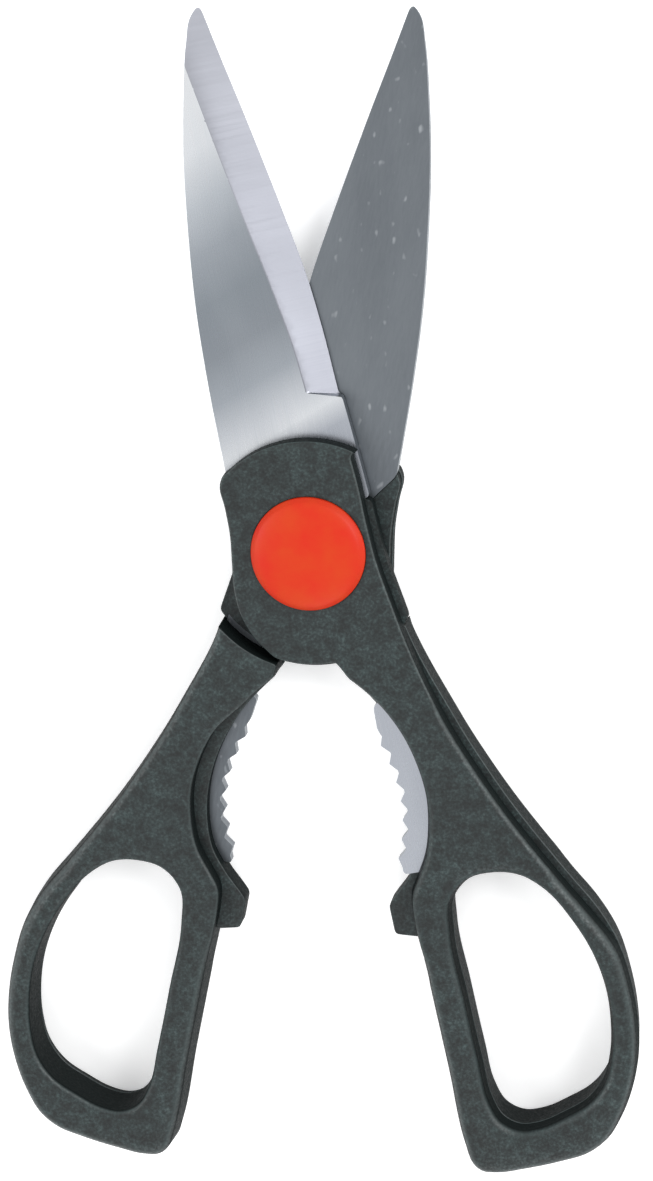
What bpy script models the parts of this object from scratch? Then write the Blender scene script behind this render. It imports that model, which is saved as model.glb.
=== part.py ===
"""Household shears with serrated nutcracker jaws, as an assembly of separate parts.

Both arms are the same set of parts: the second arm is the first one turned over about +Y.
Each arm is drawn closed, in its own frame: the pivot is the origin, the blade points along +Y,
the handle bulges towards +X, and z = 0 is the plane in which the two blades slide on each other.
Lengths in the named values are millimetres. The pivot axis is the world's Z axis, and the shears
lie on z = 0.
"""
import math

import bmesh
import bpy
from mathutils import Vector

OBJECT_NAME = "household_shears"
MM = 0.001

# Angle of each arm away from its closed place.
HALF_OPENING = math.radians(11.2)

# Heights above the sliding plane.
CLEARANCE = 0.3
BLADE_LOW = 0.15
BLADE_STOCK = 2.3
BLADE_HIGH = BLADE_LOW + BLADE_STOCK
COVER_LOW = BLADE_HIGH + CLEARANCE
HALF_THICKNESS = 5.7
POCKET_FLOOR = BLADE_LOW - CLEARANCE
STOP_HALF_HEIGHT = 2.3
RECESS_FLOOR = 4.3

# Pivot stack.
PIVOT_HOLE_RADIUS = 2.8
SHANK_RADIUS = 2.5
THREAD_RADIUS = 2.0
HEAD_RADIUS = 4.6
HEAD_LOW = 3.4
HEAD_HIGH = 4.9
WASHER_OUTER = 5.0
WASHER_STOCK = 0.4
NUT_RADIUS = 4.0
BOSS_HOLE_RADIUS = 5.6
CAP_RADIUS = 9.55
RECESS_RADIUS = CAP_RADIUS + CLEARANCE
CAP_LOW = RECESS_FLOOR + CLEARANCE
CAP_CAVITY_RADIUS = 5.3
CAP_CAVITY_HIGH = HEAD_HIGH + CLEARANCE
CAP_RIM_HEIGHT = 0.45
CAP_CROWN = 1.75

# Boss and shoulder, both concentric with the pivot.
BOSS_TOP_RADIUS = 19.3
BOSS_FOOT_RADIUS = 19.4
SHOULDER_RADIUS = 20.2
HANDLE_ROOT = (0.6, -20.0)

# Handle details.
LEDGE_WIDTH = 1.1
LEDGE_END = -68.0
LEDGE_FADE = 14.0
JAW_LEDGE = 1.3
RIM_ROUNDING = 1.2
COLLAR_INSET = 0.25
SPIGOT_PLACES = ((9.6, -25.2), (15.2, -51.0))
SPIGOT_RADIUS = 1.6
SPIGOT_END = -2.4
SOCKET_END = -3.0

# Teeth of the jaws; the rear arm's jaw is cut back further than the front arm's.
REAR_JAW_SET_BACK = 1.25
JAW_TOP = -29.0
JAW_BOTTOM = -60.0
TOOTH_COUNT = 7
TOOTH_DEPTH = 1.1

# Ground edge of the blade.
EDGE_THICKNESS = 0.3
GRIND_START = 24.9
GRIND_END = 94.0
GRIND_STATIONS = 12
GRIND_SLANT = 0.3
GRIND_WIDTH_AT_HEEL = 4.9
GRIND_WIDTH_AT_TIP = 8.2

# Control points of the outlines, in the arm's own frame.
SPINE = ((0.1, 92.4), (-1.3, 91.0), (-2.8, 87.0), (-4.9, 79.0), (-7.1, 69.0), (-9.0, 57.0),
         (-10.5, 44.5), (-11.3, 31.0), (-11.6, 14.8))
CUTTING_EDGE = ((9.8, 25.0), (9.4, 35.5), (8.6, 45.5), (7.0, 56.0), (5.4, 65.5), (3.8, 74.5),
                (2.1, 83.5), (0.6, 91.9))
RICASSO = ((10.6, 24.8), (11.2, 16.0), (11.7, 7.2))
NECK = ((-8.2, 10.0), (-8.4, 2.0), (-8.0, -6.0), (-5.6, -12.5), (-1.2, -17.6), (2.9, -22.2),
        (5.3, -25.8), (6.0, -28.2))
JAW_START = ((4.8, -28.6), (4.6, -33.0))
JAW = ((5.2, -33.8), (6.2, -37.5), (6.9, -41.5), (7.1, -46.0), (6.5, -50.5), (5.3, -54.5),
       (3.9, -58.0))
TANG_END = ((3.9, -59.0), (7.4, -58.9), (13.0, -57.6), (18.2, -55.2), (20.8, -52.6))
TANG_BACK = ((20.9, -51.4), (18.9, -44.5), (16.1, -33.6), (13.7, -23.6), (12.1, -14.0),
             (11.1, -4.0), (10.5, 3.0), (10.3, 6.9))

BOSS_RIGHT = ((11.7, 15.3), (12.0, 10.0), (12.0, 4.0))
OUTER_SIDE = ((12.0, 4.0), (12.3, -3.0), (13.3, -10.5), (14.8, -19.5), (16.5, -27.0),
              (18.4, -33.5), (21.4, -41.5), (25.1, -50.0), (28.3, -56.4), (32.4, -64.0),
              (35.7, -70.0), (37.9, -76.0), (38.8, -83.5), (38.8, -89.5), (37.9, -96.0),
              (35.7, -102.4), (32.5, -108.0), (29.2, -111.8), (25.8, -113.6), (21.0, -114.4),
              (14.4, -114.9), (9.2, -114.9), (6.4, -114.1), (5.0, -112.2), (4.6, -109.3),
              (4.5, -95.0), (4.3, -77.0))
INNER_FACE = ((4.1, -70.5), (4.1, -66.0), (4.7, -62.0), (6.1, -59.6), (8.3, -55.8),
              (9.9, -50.6), (10.6, -45.0), (10.2, -39.8), (8.9, -34.3), (6.5, -29.0),
              (4.2, -25.6), (1.9, -22.9))
INNER_CORE = ((4.2, -60.2), (6.9, -56.4), (8.7, -51.2), (9.4, -45.2), (9.0, -39.6), (7.8, -34.4),
              (6.1, -29.6), (4.0, -25.9), (1.9, -22.9))
STOP = ((4.1, -70.5), (0.15, -69.4), (0.15, -64.0), (1.7, -62.5))
SHOULDER_INNER_CORNER = (1.7, -20.2)
BOSS_SPINE_SIDE = ((-11.4, 16.0), (-12.45, 14.4), (-12.5, 10.0), (-12.7, 5.0), (-13.3, 1.0),
                   (-14.0, -4.0), (-13.7, -9.0), (-12.1, -13.3), (-10.1, -16.2))
LOOP = ((10.5, -82.0), (10.5, -70.0), (11.8, -64.0), (15.2, -61.2), (19.4, -60.8), (23.7, -61.9),
        (27.3, -65.0), (30.8, -71.0), (33.2, -77.5), (34.3, -84.5), (34.0, -90.3),
        (32.8, -96.0), (30.7, -100.6), (27.6, -103.6), (22.9, -105.6), (18.2, -106.9),
        (15.0, -106.8), (12.3, -104.9), (11.0, -101.2), (10.7, -94.0))

COLOURS = {
    "steel": ((0.50, 0.52, 0.55), 0.32, 1.0),
    "plastic": ((0.045, 0.062, 0.062), 0.55, 0.0),
    "red": ((0.80, 0.07, 0.03), 0.35, 0.0),
    "hardware": ((0.42, 0.42, 0.43), 0.4, 1.0),
}


def stretch(points, steps=3, closed=False):
    """Points of a smooth curve that passes through the given (x, y) points."""
    knots = [Vector(point) for point in points]
    count = len(knots)
    spans = count if closed else count - 1
    result = []
    for index in range(spans):
        if closed:
            around = [knots[(index + shift) % count] for shift in (-1, 0, 1, 2)]
        else:
            around = [knots[min(max(index + shift, 0), count - 1)] for shift in (-1, 0, 1, 2)]
        before, start, end, after = around
        span = (end - start).length
        leave = tangent(before, start, end) * span
        arrive = tangent(start, end, after) * span
        for step in range(steps):
            t = step / steps
            result.append(start * (2 * t**3 - 3 * t**2 + 1) + leave * (t**3 - 2 * t**2 + t)
                          + end * (3 * t**2 - 2 * t**3) + arrive * (t**3 - t**2))
    if not closed:
        result.append(knots[-1])
    return result


def tangent(before, here, after):
    """Unit direction of a smooth curve at a point, weighted to its nearer neighbour."""
    back = here - before
    ahead = after - here
    if back.length == 0:
        return ahead.normalized()
    if ahead.length == 0:
        return back.normalized()
    return (back.normalized() / back.length + ahead.normalized() / ahead.length).normalized()


def arc(radius, start_degrees, end_degrees, steps):
    """Points of a circular arc about the pivot."""
    angles = [math.radians(start_degrees + (end_degrees - start_degrees) * step / steps)
              for step in range(steps + 1)]
    return [Vector((radius * math.cos(angle), radius * math.sin(angle))) for angle in angles]


def polar_degrees(point):
    """Direction of a point from the pivot, in degrees."""
    return math.degrees(math.atan2(point[1], point[0]))


def shifted(points, distance):
    """A run of points moved to the left of its direction; distance is a number or f(point)."""
    result = []
    for index, point in enumerate(points):
        before = points[max(index - 1, 0)]
        after = points[min(index + 1, len(points) - 1)]
        along = (after - before).normalized()
        amount = distance(point) if callable(distance) else distance
        result.append(point + Vector((-along.y, along.x)) * amount)
    return result


def grown(loop, distance):
    """A closed anticlockwise loop moved outwards."""
    result = []
    for index, point in enumerate(loop):
        back = (point - loop[index - 1]).normalized()
        ahead = (loop[(index + 1) % len(loop)] - point).normalized()
        mitre = Vector((back.y + ahead.y, -back.x - ahead.x)).normalized()
        reach = distance / max(mitre.dot(Vector((ahead.y, -ahead.x))), 0.5)
        result.append(point + mitre * reach)
    return result


def cut_back(points, depth):
    """Points along a jaw moved deeper into the handle, most at the jaw's middle."""
    result = []
    for x, y in points:
        share = (y - JAW_TOP) / (JAW_BOTTOM - JAW_TOP)
        bulge = math.sqrt(math.sin(math.pi * share)) if 0 < share < 1 else 0.0
        result.append((x + depth * bulge, y))
    return result


def teeth(points):
    """A saw-tooth run along a jaw, each tooth standing out to the right of the run."""
    guide = stretch(points, 12)
    result = []
    last = len(guide) - 1
    for tooth in range(TOOTH_COUNT):
        valley = guide[round(last * tooth / TOOTH_COUNT)]
        end = guide[round(last * (tooth + 1) / TOOTH_COUNT)]
        middle = (valley + end) / 2
        along = (end - valley).normalized()
        outward = Vector((along.y, -along.x))
        result += [valley, middle + along * 0.15 + outward * TOOTH_DEPTH]
    result.append(guide[-1])
    return result


def ledge_taper(point):
    """Width of the ledge beside the cover: full along the shank, none round the loop."""
    share = (point.y - LEDGE_END + LEDGE_FADE) / LEDGE_FADE
    return LEDGE_WIDTH * min(max(share, 0.0), 1.0) if point.x > 0 else 0.0


def crossing(points, radius):
    """Where a run of points, walking away from the pivot, crosses a circle about it."""
    for near, far in zip(points, points[1:]):
        if near.length < radius <= far.length:
            return near.lerp(far, (radius - near.length) / (far.length - near.length))
    return points[-1]


def blank_outline(jaw_depth):
    """The stamped steel blank: blade, neck, toothed jaw and tang, anticlockwise."""
    return (stretch(SPINE) + stretch(NECK) + stretch(cut_back(JAW_START, jaw_depth), 1)
            + teeth(cut_back(JAW, jaw_depth))
            + stretch(TANG_END) + stretch(TANG_BACK) + stretch(tuple(reversed(RICASSO)), 2)
            + stretch(CUTTING_EDGE))


def boss_foot(radius, end_degrees):
    """A lower arc of the boss, from its spine side round to a direction."""
    return arc(radius, polar_degrees(BOSS_SPINE_SIDE[-1]) + 362, end_degrees + 360, 8)


def cover_outline(jaw_depth):
    """The cover's face: boss, shank and loop, with the ledge left free beside it."""
    top = arc(BOSS_TOP_RADIUS, polar_degrees(BOSS_RIGHT[0]), polar_degrees(BOSS_SPINE_SIDE[0]), 10)
    inner = list(reversed(stretch(cut_back(INNER_FACE, jaw_depth))))
    side = list(reversed(stretch(BOSS_RIGHT)[:-1] + stretch(OUTER_SIDE)))
    side = shifted(side, ledge_taper)
    foot = boss_foot(BOSS_FOOT_RADIUS, polar_degrees(HANDLE_ROOT))
    return top + stretch(BOSS_SPINE_SIDE) + foot + inner + side


def collar_outline():
    """The collar round the blank at blade level, out to the boss's own edges."""
    reach = SHOULDER_RADIUS - CLEARANCE
    side = stretch(OUTER_SIDE)
    end = crossing(side, reach)
    side = [point for point in reversed(side) if point.length < reach]
    spine_side = shifted(stretch(BOSS_SPINE_SIDE), COLLAR_INSET)
    return spine_side + boss_foot(reach, polar_degrees(end)) + side


def grip_outline(inner):
    """A grip's outline: the shoulder arc, then the inner side, the loop's outside and back."""
    outer = stretch(OUTER_SIDE)
    start = polar_degrees(crossing(outer, SHOULDER_RADIUS))
    outer = [point for point in outer if point.length > SHOULDER_RADIUS]
    end = polar_degrees(SHOULDER_INNER_CORNER)
    return arc(SHOULDER_RADIUS, start, end, 8) + inner + list(reversed(outer))


def grip_face_outline(jaw_depth):
    """The outer level of a grip, set back a little from its middle level."""
    outline = grip_outline(list(reversed(stretch(cut_back(INNER_FACE, jaw_depth)))))
    return grown(outline, -COLLAR_INSET)


def grip_core_outline(jaw_depth):
    """The middle level of a grip, with the jaw's ledge and the closing stop."""
    inner = list(reversed(stretch(cut_back(INNER_CORE, jaw_depth))))
    return grip_outline(inner + [Vector(point) for point in reversed(STOP)])


def plate(name, loops, low, high):
    """A flat solid between two heights, from closed outlines in millimetres."""
    curve = bpy.data.curves.new(name, "CURVE")
    curve.dimensions = "2D"
    curve.fill_mode = "BOTH"
    curve.extrude = (high - low) / 2 * MM
    for loop in loops:
        spline = curve.splines.new("POLY")
        spline.points.add(len(loop) - 1)
        for point, place in zip(spline.points, loop):
            point.co = (place[0] * MM, place[1] * MM, 0, 1)
        spline.use_cyclic_u = True
    guide = bpy.data.objects.new(name, curve)
    bpy.context.scene.collection.objects.link(guide)
    guide.location.z = (low + high) / 2 * MM
    bpy.context.view_layer.update()
    evaluated = guide.evaluated_get(bpy.context.evaluated_depsgraph_get())
    mesh = bpy.data.meshes.new_from_object(evaluated)
    mesh.transform(guide.matrix_world)
    bpy.data.objects.remove(guide)
    form = bmesh.new()
    form.from_mesh(mesh)
    bmesh.ops.remove_doubles(form, verts=form.verts, dist=0.00001)
    bmesh.ops.recalc_face_normals(form, faces=form.faces)
    form.to_mesh(mesh)
    form.free()
    return add_object(name, mesh)


def round_rim(item, height, width=RIM_ROUNDING):
    """Round the edges of a plate that lie at one height."""
    form = bmesh.new()
    form.from_mesh(item.data)
    rim = [edge for edge in form.edges
           if all(abs(vert.co.z - height * MM) < 0.00001 for vert in edge.verts)
           and len(edge.link_faces) == 2 and edge.calc_face_angle() > 1]
    bmesh.ops.bevel(form, geom=rim, offset=width * MM, offset_type="OFFSET", segments=2,
                    profile=0.5, affect="EDGES", clamp_overlap=False)
    form.to_mesh(item.data)
    form.free()


def rod(name, radius, low, high, place=(0.0, 0.0), sides=32):
    """A round bar along the pivot's direction, in millimetres."""
    bpy.ops.mesh.primitive_cylinder_add(vertices=sides, radius=radius * MM,
                                        depth=(high - low) * MM)
    bar = bpy.context.active_object
    bar.name = name
    bar.data.transform(bar.matrix_world)
    shift = Vector((place[0] * MM, place[1] * MM, (low + high) / 2 * MM))
    for vert in bar.data.vertices:
        vert.co += shift
    return bar


def turned(name, profile, steps=40):
    """A turned solid: a profile of (radius, height) points, outer side listed downwards."""
    mesh = bpy.data.meshes.new(name)
    verts = [(radius * MM, 0, height * MM) for radius, height in profile]
    mesh.from_pydata(verts, [(index, index + 1) for index in range(len(verts) - 1)], [])
    item = add_object(name, mesh)
    screw = item.modifiers.new("turn", "SCREW")
    screw.steps = steps
    screw.render_steps = steps
    screw.use_merge_vertices = True
    screw.merge_threshold = 0.00001
    return frozen(item)


def frozen(item):
    """Replace an object's mesh by its evaluated one, and drop its modifiers."""
    evaluated = item.evaluated_get(bpy.context.evaluated_depsgraph_get())
    mesh = bpy.data.meshes.new_from_object(evaluated)
    item.modifiers.clear()
    item.data = mesh
    return item


def combine(body, tool, operation):
    """Join a tool to a body, or cut it away, and remove the tool."""
    tool.hide_render = True
    tool.display_type = "WIRE"
    change = body.modifiers.new(tool.name, "BOOLEAN")
    change.operation = operation
    change.solver = "EXACT"
    change.object = tool
    bpy.context.view_layer.update()
    frozen(body)
    bpy.data.objects.remove(tool)
    return body


def add_object(name, mesh):
    """A mesh object in the scene's own collection, until it is placed."""
    item = bpy.data.objects.new(name, mesh)
    bpy.context.scene.collection.objects.link(item)
    bpy.context.view_layer.update()
    return item


def grind_tool():
    """The wedge that the grinding wheel takes off the blade's outer face along its edge."""
    edge = stretch(CUTTING_EDGE, 8)
    form = bmesh.new()
    rings = []
    for station in range(GRIND_STATIONS + 1):
        share = station / GRIND_STATIONS
        y = GRIND_START + (GRIND_END - GRIND_START) * share
        x = edge_x(edge, y)
        width = GRIND_WIDTH_AT_HEEL + (GRIND_WIDTH_AT_TIP - GRIND_WIDTH_AT_HEEL) * share
        slope = (BLADE_STOCK - EDGE_THICKNESS) / width
        past = 3.0
        section = ((-width - past, BLADE_HIGH + slope * past),
                   (past, BLADE_LOW + EDGE_THICKNESS - slope * past),
                   (past, BLADE_HIGH + slope * past))
        rings.append([form.verts.new(((x + side) * MM, (y - GRIND_SLANT * side) * MM, z * MM))
                      for side, z in section])
    for low, high in zip(rings, rings[1:]):
        for corner in range(3):
            after = (corner + 1) % 3
            form.faces.new((low[corner], low[after], high[after], high[corner]))
    form.faces.new(rings[0])
    form.faces.new(list(reversed(rings[-1])))
    bmesh.ops.recalc_face_normals(form, faces=form.faces)
    mesh = bpy.data.meshes.new("grind_tool")
    form.to_mesh(mesh)
    form.free()
    return add_object("grind_tool", mesh)


def edge_x(edge, y):
    """The cutting edge's x at a height y, carried on straight past its ends."""
    for low, high in zip(edge, edge[1:]):
        if y <= high.y:
            break
    return low.x + (high.x - low.x) * (y - low.y) / (high.y - low.y)


def blade(jaw_depth):
    """One steel blank with its ground edge, pivot hole and spigot holes."""
    body = plate("blade", [blank_outline(jaw_depth)], BLADE_LOW, BLADE_HIGH)
    combine(body, grind_tool(), "DIFFERENCE")
    past = 1.0
    combine(body, rod("pivot_drill", PIVOT_HOLE_RADIUS, BLADE_LOW - past, BLADE_HIGH + past),
            "DIFFERENCE")
    for place in SPIGOT_PLACES:
        drill = rod("spigot_drill", SPIGOT_RADIUS + CLEARANCE, BLADE_LOW - past,
                    BLADE_HIGH + past, place, 16)
        combine(body, drill, "DIFFERENCE")
    return body


def cover(jaw_depth):
    """The boss side of a handle: boss with cap recess, collar, face and spigots."""
    body = plate("cover", [cover_outline(jaw_depth), stretch(LOOP, closed=True)], COVER_LOW,
                 HALF_THICKNESS)
    round_rim(body, HALF_THICKNESS)
    overlap = 0.6
    collar = plate("collar", [collar_outline()], BLADE_LOW, COVER_LOW + overlap)
    pocket = plate("pocket", [grown(blank_outline(jaw_depth), CLEARANCE)], BLADE_LOW - overlap,
                   COVER_LOW)
    combine(collar, pocket, "DIFFERENCE")
    combine(body, collar, "UNION")
    for place in SPIGOT_PLACES:
        spigot = rod("spigot", SPIGOT_RADIUS, SPIGOT_END, COVER_LOW + overlap, place, 16)
        combine(body, spigot, "UNION")
    recess = rod("recess", RECESS_RADIUS, RECESS_FLOOR, HALF_THICKNESS + 1, sides=48)
    combine(body, recess, "DIFFERENCE")
    hole = rod("boss_hole", BOSS_HOLE_RADIUS, BLADE_LOW - 1, RECESS_FLOOR + 1)
    combine(body, hole, "DIFFERENCE")
    return body


def grip(jaw_depth):
    """The other side of a handle: a thick shell with the blank's pocket and the stop."""
    loop = stretch(LOOP, closed=True)
    body = plate("grip", [grip_face_outline(jaw_depth), grown(loop, COLLAR_INSET)], -HALF_THICKNESS, 0.4)
    round_rim(body, -HALF_THICKNESS)
    core = plate("core", [grip_core_outline(jaw_depth), loop], -STOP_HALF_HEIGHT, BLADE_HIGH)
    combine(body, core, "UNION")
    pocket = plate("pocket", [grown(blank_outline(jaw_depth), CLEARANCE)], POCKET_FLOOR,
                   BLADE_HIGH + 1)
    combine(body, pocket, "DIFFERENCE")
    for place in SPIGOT_PLACES:
        socket = rod("socket", SPIGOT_RADIUS + CLEARANCE, SOCKET_END, 1, place, 16)
        combine(body, socket, "DIFFERENCE")
    return body


def front_cap():
    """The domed cap over the screw's head."""
    rim = HALF_THICKNESS + CAP_RIM_HEIGHT
    crown = [(CAP_RADIUS * math.sin(math.radians(angle)),
              rim + CAP_CROWN * math.cos(math.radians(angle))) for angle in range(0, 91, 15)]
    profile = crown + [(CAP_RADIUS, CAP_LOW), (CAP_CAVITY_RADIUS, CAP_LOW),
                       (CAP_CAVITY_RADIUS, CAP_CAVITY_HIGH), (0, CAP_CAVITY_HIGH)]
    return turned("front_cap", profile)


def rear_cap():
    """The flat cap over the nut, drawn in the rear arm's frame with its face outwards."""
    profile = [(0, HALF_THICKNESS), (CAP_RADIUS - 0.3, HALF_THICKNESS),
               (CAP_RADIUS, HALF_THICKNESS - 0.3), (CAP_RADIUS, CAP_LOW),
               (CAP_CAVITY_RADIUS, CAP_LOW), (CAP_CAVITY_RADIUS, CAP_CAVITY_HIGH),
               (0, CAP_CAVITY_HIGH)]
    return turned("rear_cap", profile)


def pivot_screw():
    """Shoulder screw: low round head above the front blade, thread end in the nut."""
    slot_depth = 0.6
    profile = [(0, HEAD_HIGH), (HEAD_RADIUS - 0.5, HEAD_HIGH), (HEAD_RADIUS, HEAD_HIGH - 0.5),
               (HEAD_RADIUS, HEAD_LOW), (SHANK_RADIUS, HEAD_LOW), (SHANK_RADIUS, -COVER_LOW),
               (THREAD_RADIUS, -COVER_LOW), (THREAD_RADIUS, -HEAD_HIGH), (0, -HEAD_HIGH)]
    body = turned("pivot_screw", profile, 32)
    bpy.ops.mesh.primitive_cube_add(size=MM)
    slot = bpy.context.active_object
    slot.name = "slot"
    slot.scale = (3 * HEAD_RADIUS, 1.2, 2 * slot_depth)
    slot.location.z = HEAD_HIGH * MM
    bpy.context.view_layer.update()
    return combine(body, slot, "DIFFERENCE")


def ring(name, inner, outer, low, high, sides=32):
    """A flat washer."""
    body = rod(name, outer, low, high, sides=sides)
    return combine(body, rod("bore", inner, low - 1, high + 1), "DIFFERENCE")


def spring_washer():
    """A wave washer of three waves, under the nut."""
    waves = 3
    lift = 0.12
    body = ring("spring_washer", SHANK_RADIUS + CLEARANCE, WASHER_OUTER, -COVER_LOW
                - WASHER_STOCK, -COVER_LOW, 36)
    for vert in body.data.vertices:
        angle = math.atan2(vert.co.y, vert.co.x)
        vert.co.z += lift * MM * (math.cos(waves * angle) - 1) / 2
    return body


def material(kind):
    """The Principled material of one kind of finish."""
    colour, roughness, metallic = COLOURS[kind]
    result = bpy.data.materials.new(kind)
    result.use_nodes = True
    shader = result.node_tree.nodes["Principled BSDF"]
    shader.inputs["Base Color"].default_value = (*colour, 1.0)
    shader.inputs["Roughness"].default_value = roughness
    shader.inputs["Metallic"].default_value = metallic
    return result


def arm_frame(name, opening, turned_over):
    """An empty on the pivot axis that carries one arm."""
    frame = bpy.data.objects.new(name, None)
    bpy.context.scene.collection.objects.link(frame)
    frame.location = (0, 0, HALF_THICKNESS * MM)
    frame.rotation_euler = (0, math.pi if turned_over else 0, opening)
    return frame


def place(mesh, name, frame, finish, collection):
    """A named part in the shears' collection, carried by one arm's frame."""
    part = bpy.data.objects.new(name, mesh)
    collection.objects.link(part)
    part.parent = frame
    part.data.materials.clear()
    part.data.materials.append(finish)
    part.data.shade_smooth()
    part.data.set_sharp_from_angle(angle=math.radians(30))
    return part


def main():
    """Build the shears."""
    for item in list(bpy.data.objects):
        bpy.data.objects.remove(item)
    shears = bpy.data.collections.new(OBJECT_NAME)
    bpy.context.scene.collection.children.link(shears)
    front = arm_frame("front_arm", HALF_OPENING, False)
    rear = arm_frame("rear_arm", -HALF_OPENING, True)
    hub = arm_frame("hub", 0, False)
    finishes = {kind: material(kind) for kind in COLOURS}

    for side, frame, jaw_depth in (("front", front, 0.0), ("rear", rear, REAR_JAW_SET_BACK)):
        for source, name, kind in ((blade(jaw_depth), "blade", "steel"),
                                   (cover(jaw_depth), "handle_cover", "plastic"),
                                   (grip(jaw_depth), "handle_grip", "plastic")):
            place(source.data, side + "_" + name, frame, finishes[kind], shears)
            bpy.data.objects.remove(source)
    singles = ((front_cap(), front, "red"), (rear_cap(), rear, "red"),
               (pivot_screw(), hub, "hardware"),
               (ring("flat_washer", SHANK_RADIUS + CLEARANCE, WASHER_OUTER, COVER_LOW,
                     COVER_LOW + WASHER_STOCK), hub, "hardware"),
               (spring_washer(), hub, "hardware"),
               (ring("pivot_nut", THREAD_RADIUS + CLEARANCE, NUT_RADIUS, -HEAD_HIGH, -HEAD_LOW,
                     6), hub, "hardware"))
    for source, frame, kind in singles:
        name = source.name
        mesh = source.data
        bpy.data.objects.remove(source)
        place(mesh, name, frame, finishes[kind], shears)
    bpy.context.view_layer.update()


main()
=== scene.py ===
"""Looks of a pair of household shears with serrated nutcracker jaws.

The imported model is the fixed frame. Each arm is drawn closed, in its own frame: the pivot is the
origin, the blade points along +Y, the handle bulges towards +X, and z = 0 is the plane in which the
two blades slide on each other. The second arm is the first one turned over about +Y. Lengths are
millimetres until a mesh is placed, which turns it to its arm's place, in metres.
"""
import logging
import math
from collections.abc import Callable, Sequence
from dataclasses import dataclass, field
from enum import Enum
from functools import partial
from typing import Any

import bpy
import numpy as np
from mathutils import Euler, Matrix, Vector
from mathutils.geometry import delaunay_2d_cdt


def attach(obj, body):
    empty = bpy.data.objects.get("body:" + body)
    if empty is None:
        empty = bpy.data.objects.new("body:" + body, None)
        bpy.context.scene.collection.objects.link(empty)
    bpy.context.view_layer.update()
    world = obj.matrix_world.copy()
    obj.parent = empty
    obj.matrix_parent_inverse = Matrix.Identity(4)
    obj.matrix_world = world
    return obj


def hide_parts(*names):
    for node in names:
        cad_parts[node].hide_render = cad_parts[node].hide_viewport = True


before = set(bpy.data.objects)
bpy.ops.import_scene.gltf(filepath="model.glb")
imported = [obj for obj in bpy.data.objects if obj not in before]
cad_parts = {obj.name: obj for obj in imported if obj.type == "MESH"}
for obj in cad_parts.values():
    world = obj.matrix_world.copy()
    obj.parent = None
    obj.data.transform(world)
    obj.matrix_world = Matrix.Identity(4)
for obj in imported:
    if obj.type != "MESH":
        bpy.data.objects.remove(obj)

LOG = logging.getLogger("shears")

MM = 0.001
Points = np.ndarray
Run = tuple[tuple[float, float], ...]

# How finely outlines and faces are divided.
OUTLINE_STEP = 0.45
FACE_STEP = 1.3
ROUNDING_STEPS = 7
FINE_SIDES = 128
ROD_SIDES = 64

# Slimmest triangle kept at an edge, nearest corners, least inset of a ring and least wall.
SLIVER = 1e-4
NEAREST_CORNERS = 0.02
LEAST_INSET = 0.002
LEAST_WALL = 0.04

# How near a grid's corners, a ring's and a guide's may come to an edge: a share of the grid's
# step, a share of the ring's inset, and a length.
GRID_CLEARANCE = 0.4
RING_CLEARANCE = 0.85
GUIDE_CLEARANCE = 0.1

# The smallest cosine that a mitre is drawn for, and the sharpest edge that is shaded round.
MITRE_LIMIT = 0.6
SHARP_ANGLE = math.radians(32)

# Length along a blade that the bands of its polish are spread over.
BLADE_REACH = 100.0

# Heights above the sliding plane, shared by both shells of a handle and the steel between them.
BLADE_LOW = 0.15
BLADE_HIGH = 2.45
HALF_THICKNESS = 5.7
COVER_LOW = 2.53
GRIP_TOP = 2.40

# Gap round the blank in a handle, and how far in from an edge a handle's face has fallen.
GAP = 0.08
CROWN_REACH = 2.0

# Where, along a handle's outer side, its boss ends and its finger loop begins.
BOSS_END = -30.0
LOOP_TOP = -62.0

# The moulded spigots that hold a handle's shells together, the holes that they pass through in
# the blank, and their sockets.
SPIGOT_RADIUS = 1.6
SPIGOT_HOLE_RADIUS = 1.75
SOCKET_RADIUS = 1.7
SOCKET_FLOOR = -2.6

# Pivot: the blank's hole, and the boss's hole and recess.
PIVOT_HOLE_RADIUS = 2.8
BOSS_HOLE_RADIUS = 5.6
RECESS_RADIUS = 9.8
RECESS_FLOOR = 4.3


class Arm(Enum):
    """The two arms: which body each one is, how it stands, and how deep its jaw is cut."""

    FRONT = ("front", 11.2, 0.0, 0.0)
    REAR = ("rear", -11.2, 180.0, 1.25)

    def __init__(self, side: str, opening: float, turned_over: float, jaw_depth: float) -> None:
        """Keeps the arm's own values.

        Args:
            side: its name.
            opening: its turn about the pivot, in degrees.
            turned_over: its turn about its own length, in degrees.
            jaw_depth: how much deeper its jaw is cut, in millimetres.
        """
        self.side = side
        self.opening = math.radians(opening)
        self.turned_over = math.radians(turned_over)
        self.jaw_depth = jaw_depth

    @property
    def body(self) -> str:
        """Name of the CAD body that the arm's pieces ride on."""
        return self.side + "_arm"

    @property
    def placing(self) -> Matrix:
        """Matrix from the arm's drawing, in millimetres, to its place, in metres.

        Returns:
            The matrix.
        """
        lift = Matrix.Translation((0, 0, HALF_THICKNESS * MM))
        turn = Euler((0, self.turned_over, self.opening)).to_matrix().to_4x4()
        return lift @ turn @ Matrix.Scale(MM, 4)


def unit(vector: Points) -> Points:
    """A vector of length one, or the zero vector."""
    length = np.linalg.norm(vector)
    return vector / length if length > 0 else vector


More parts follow.
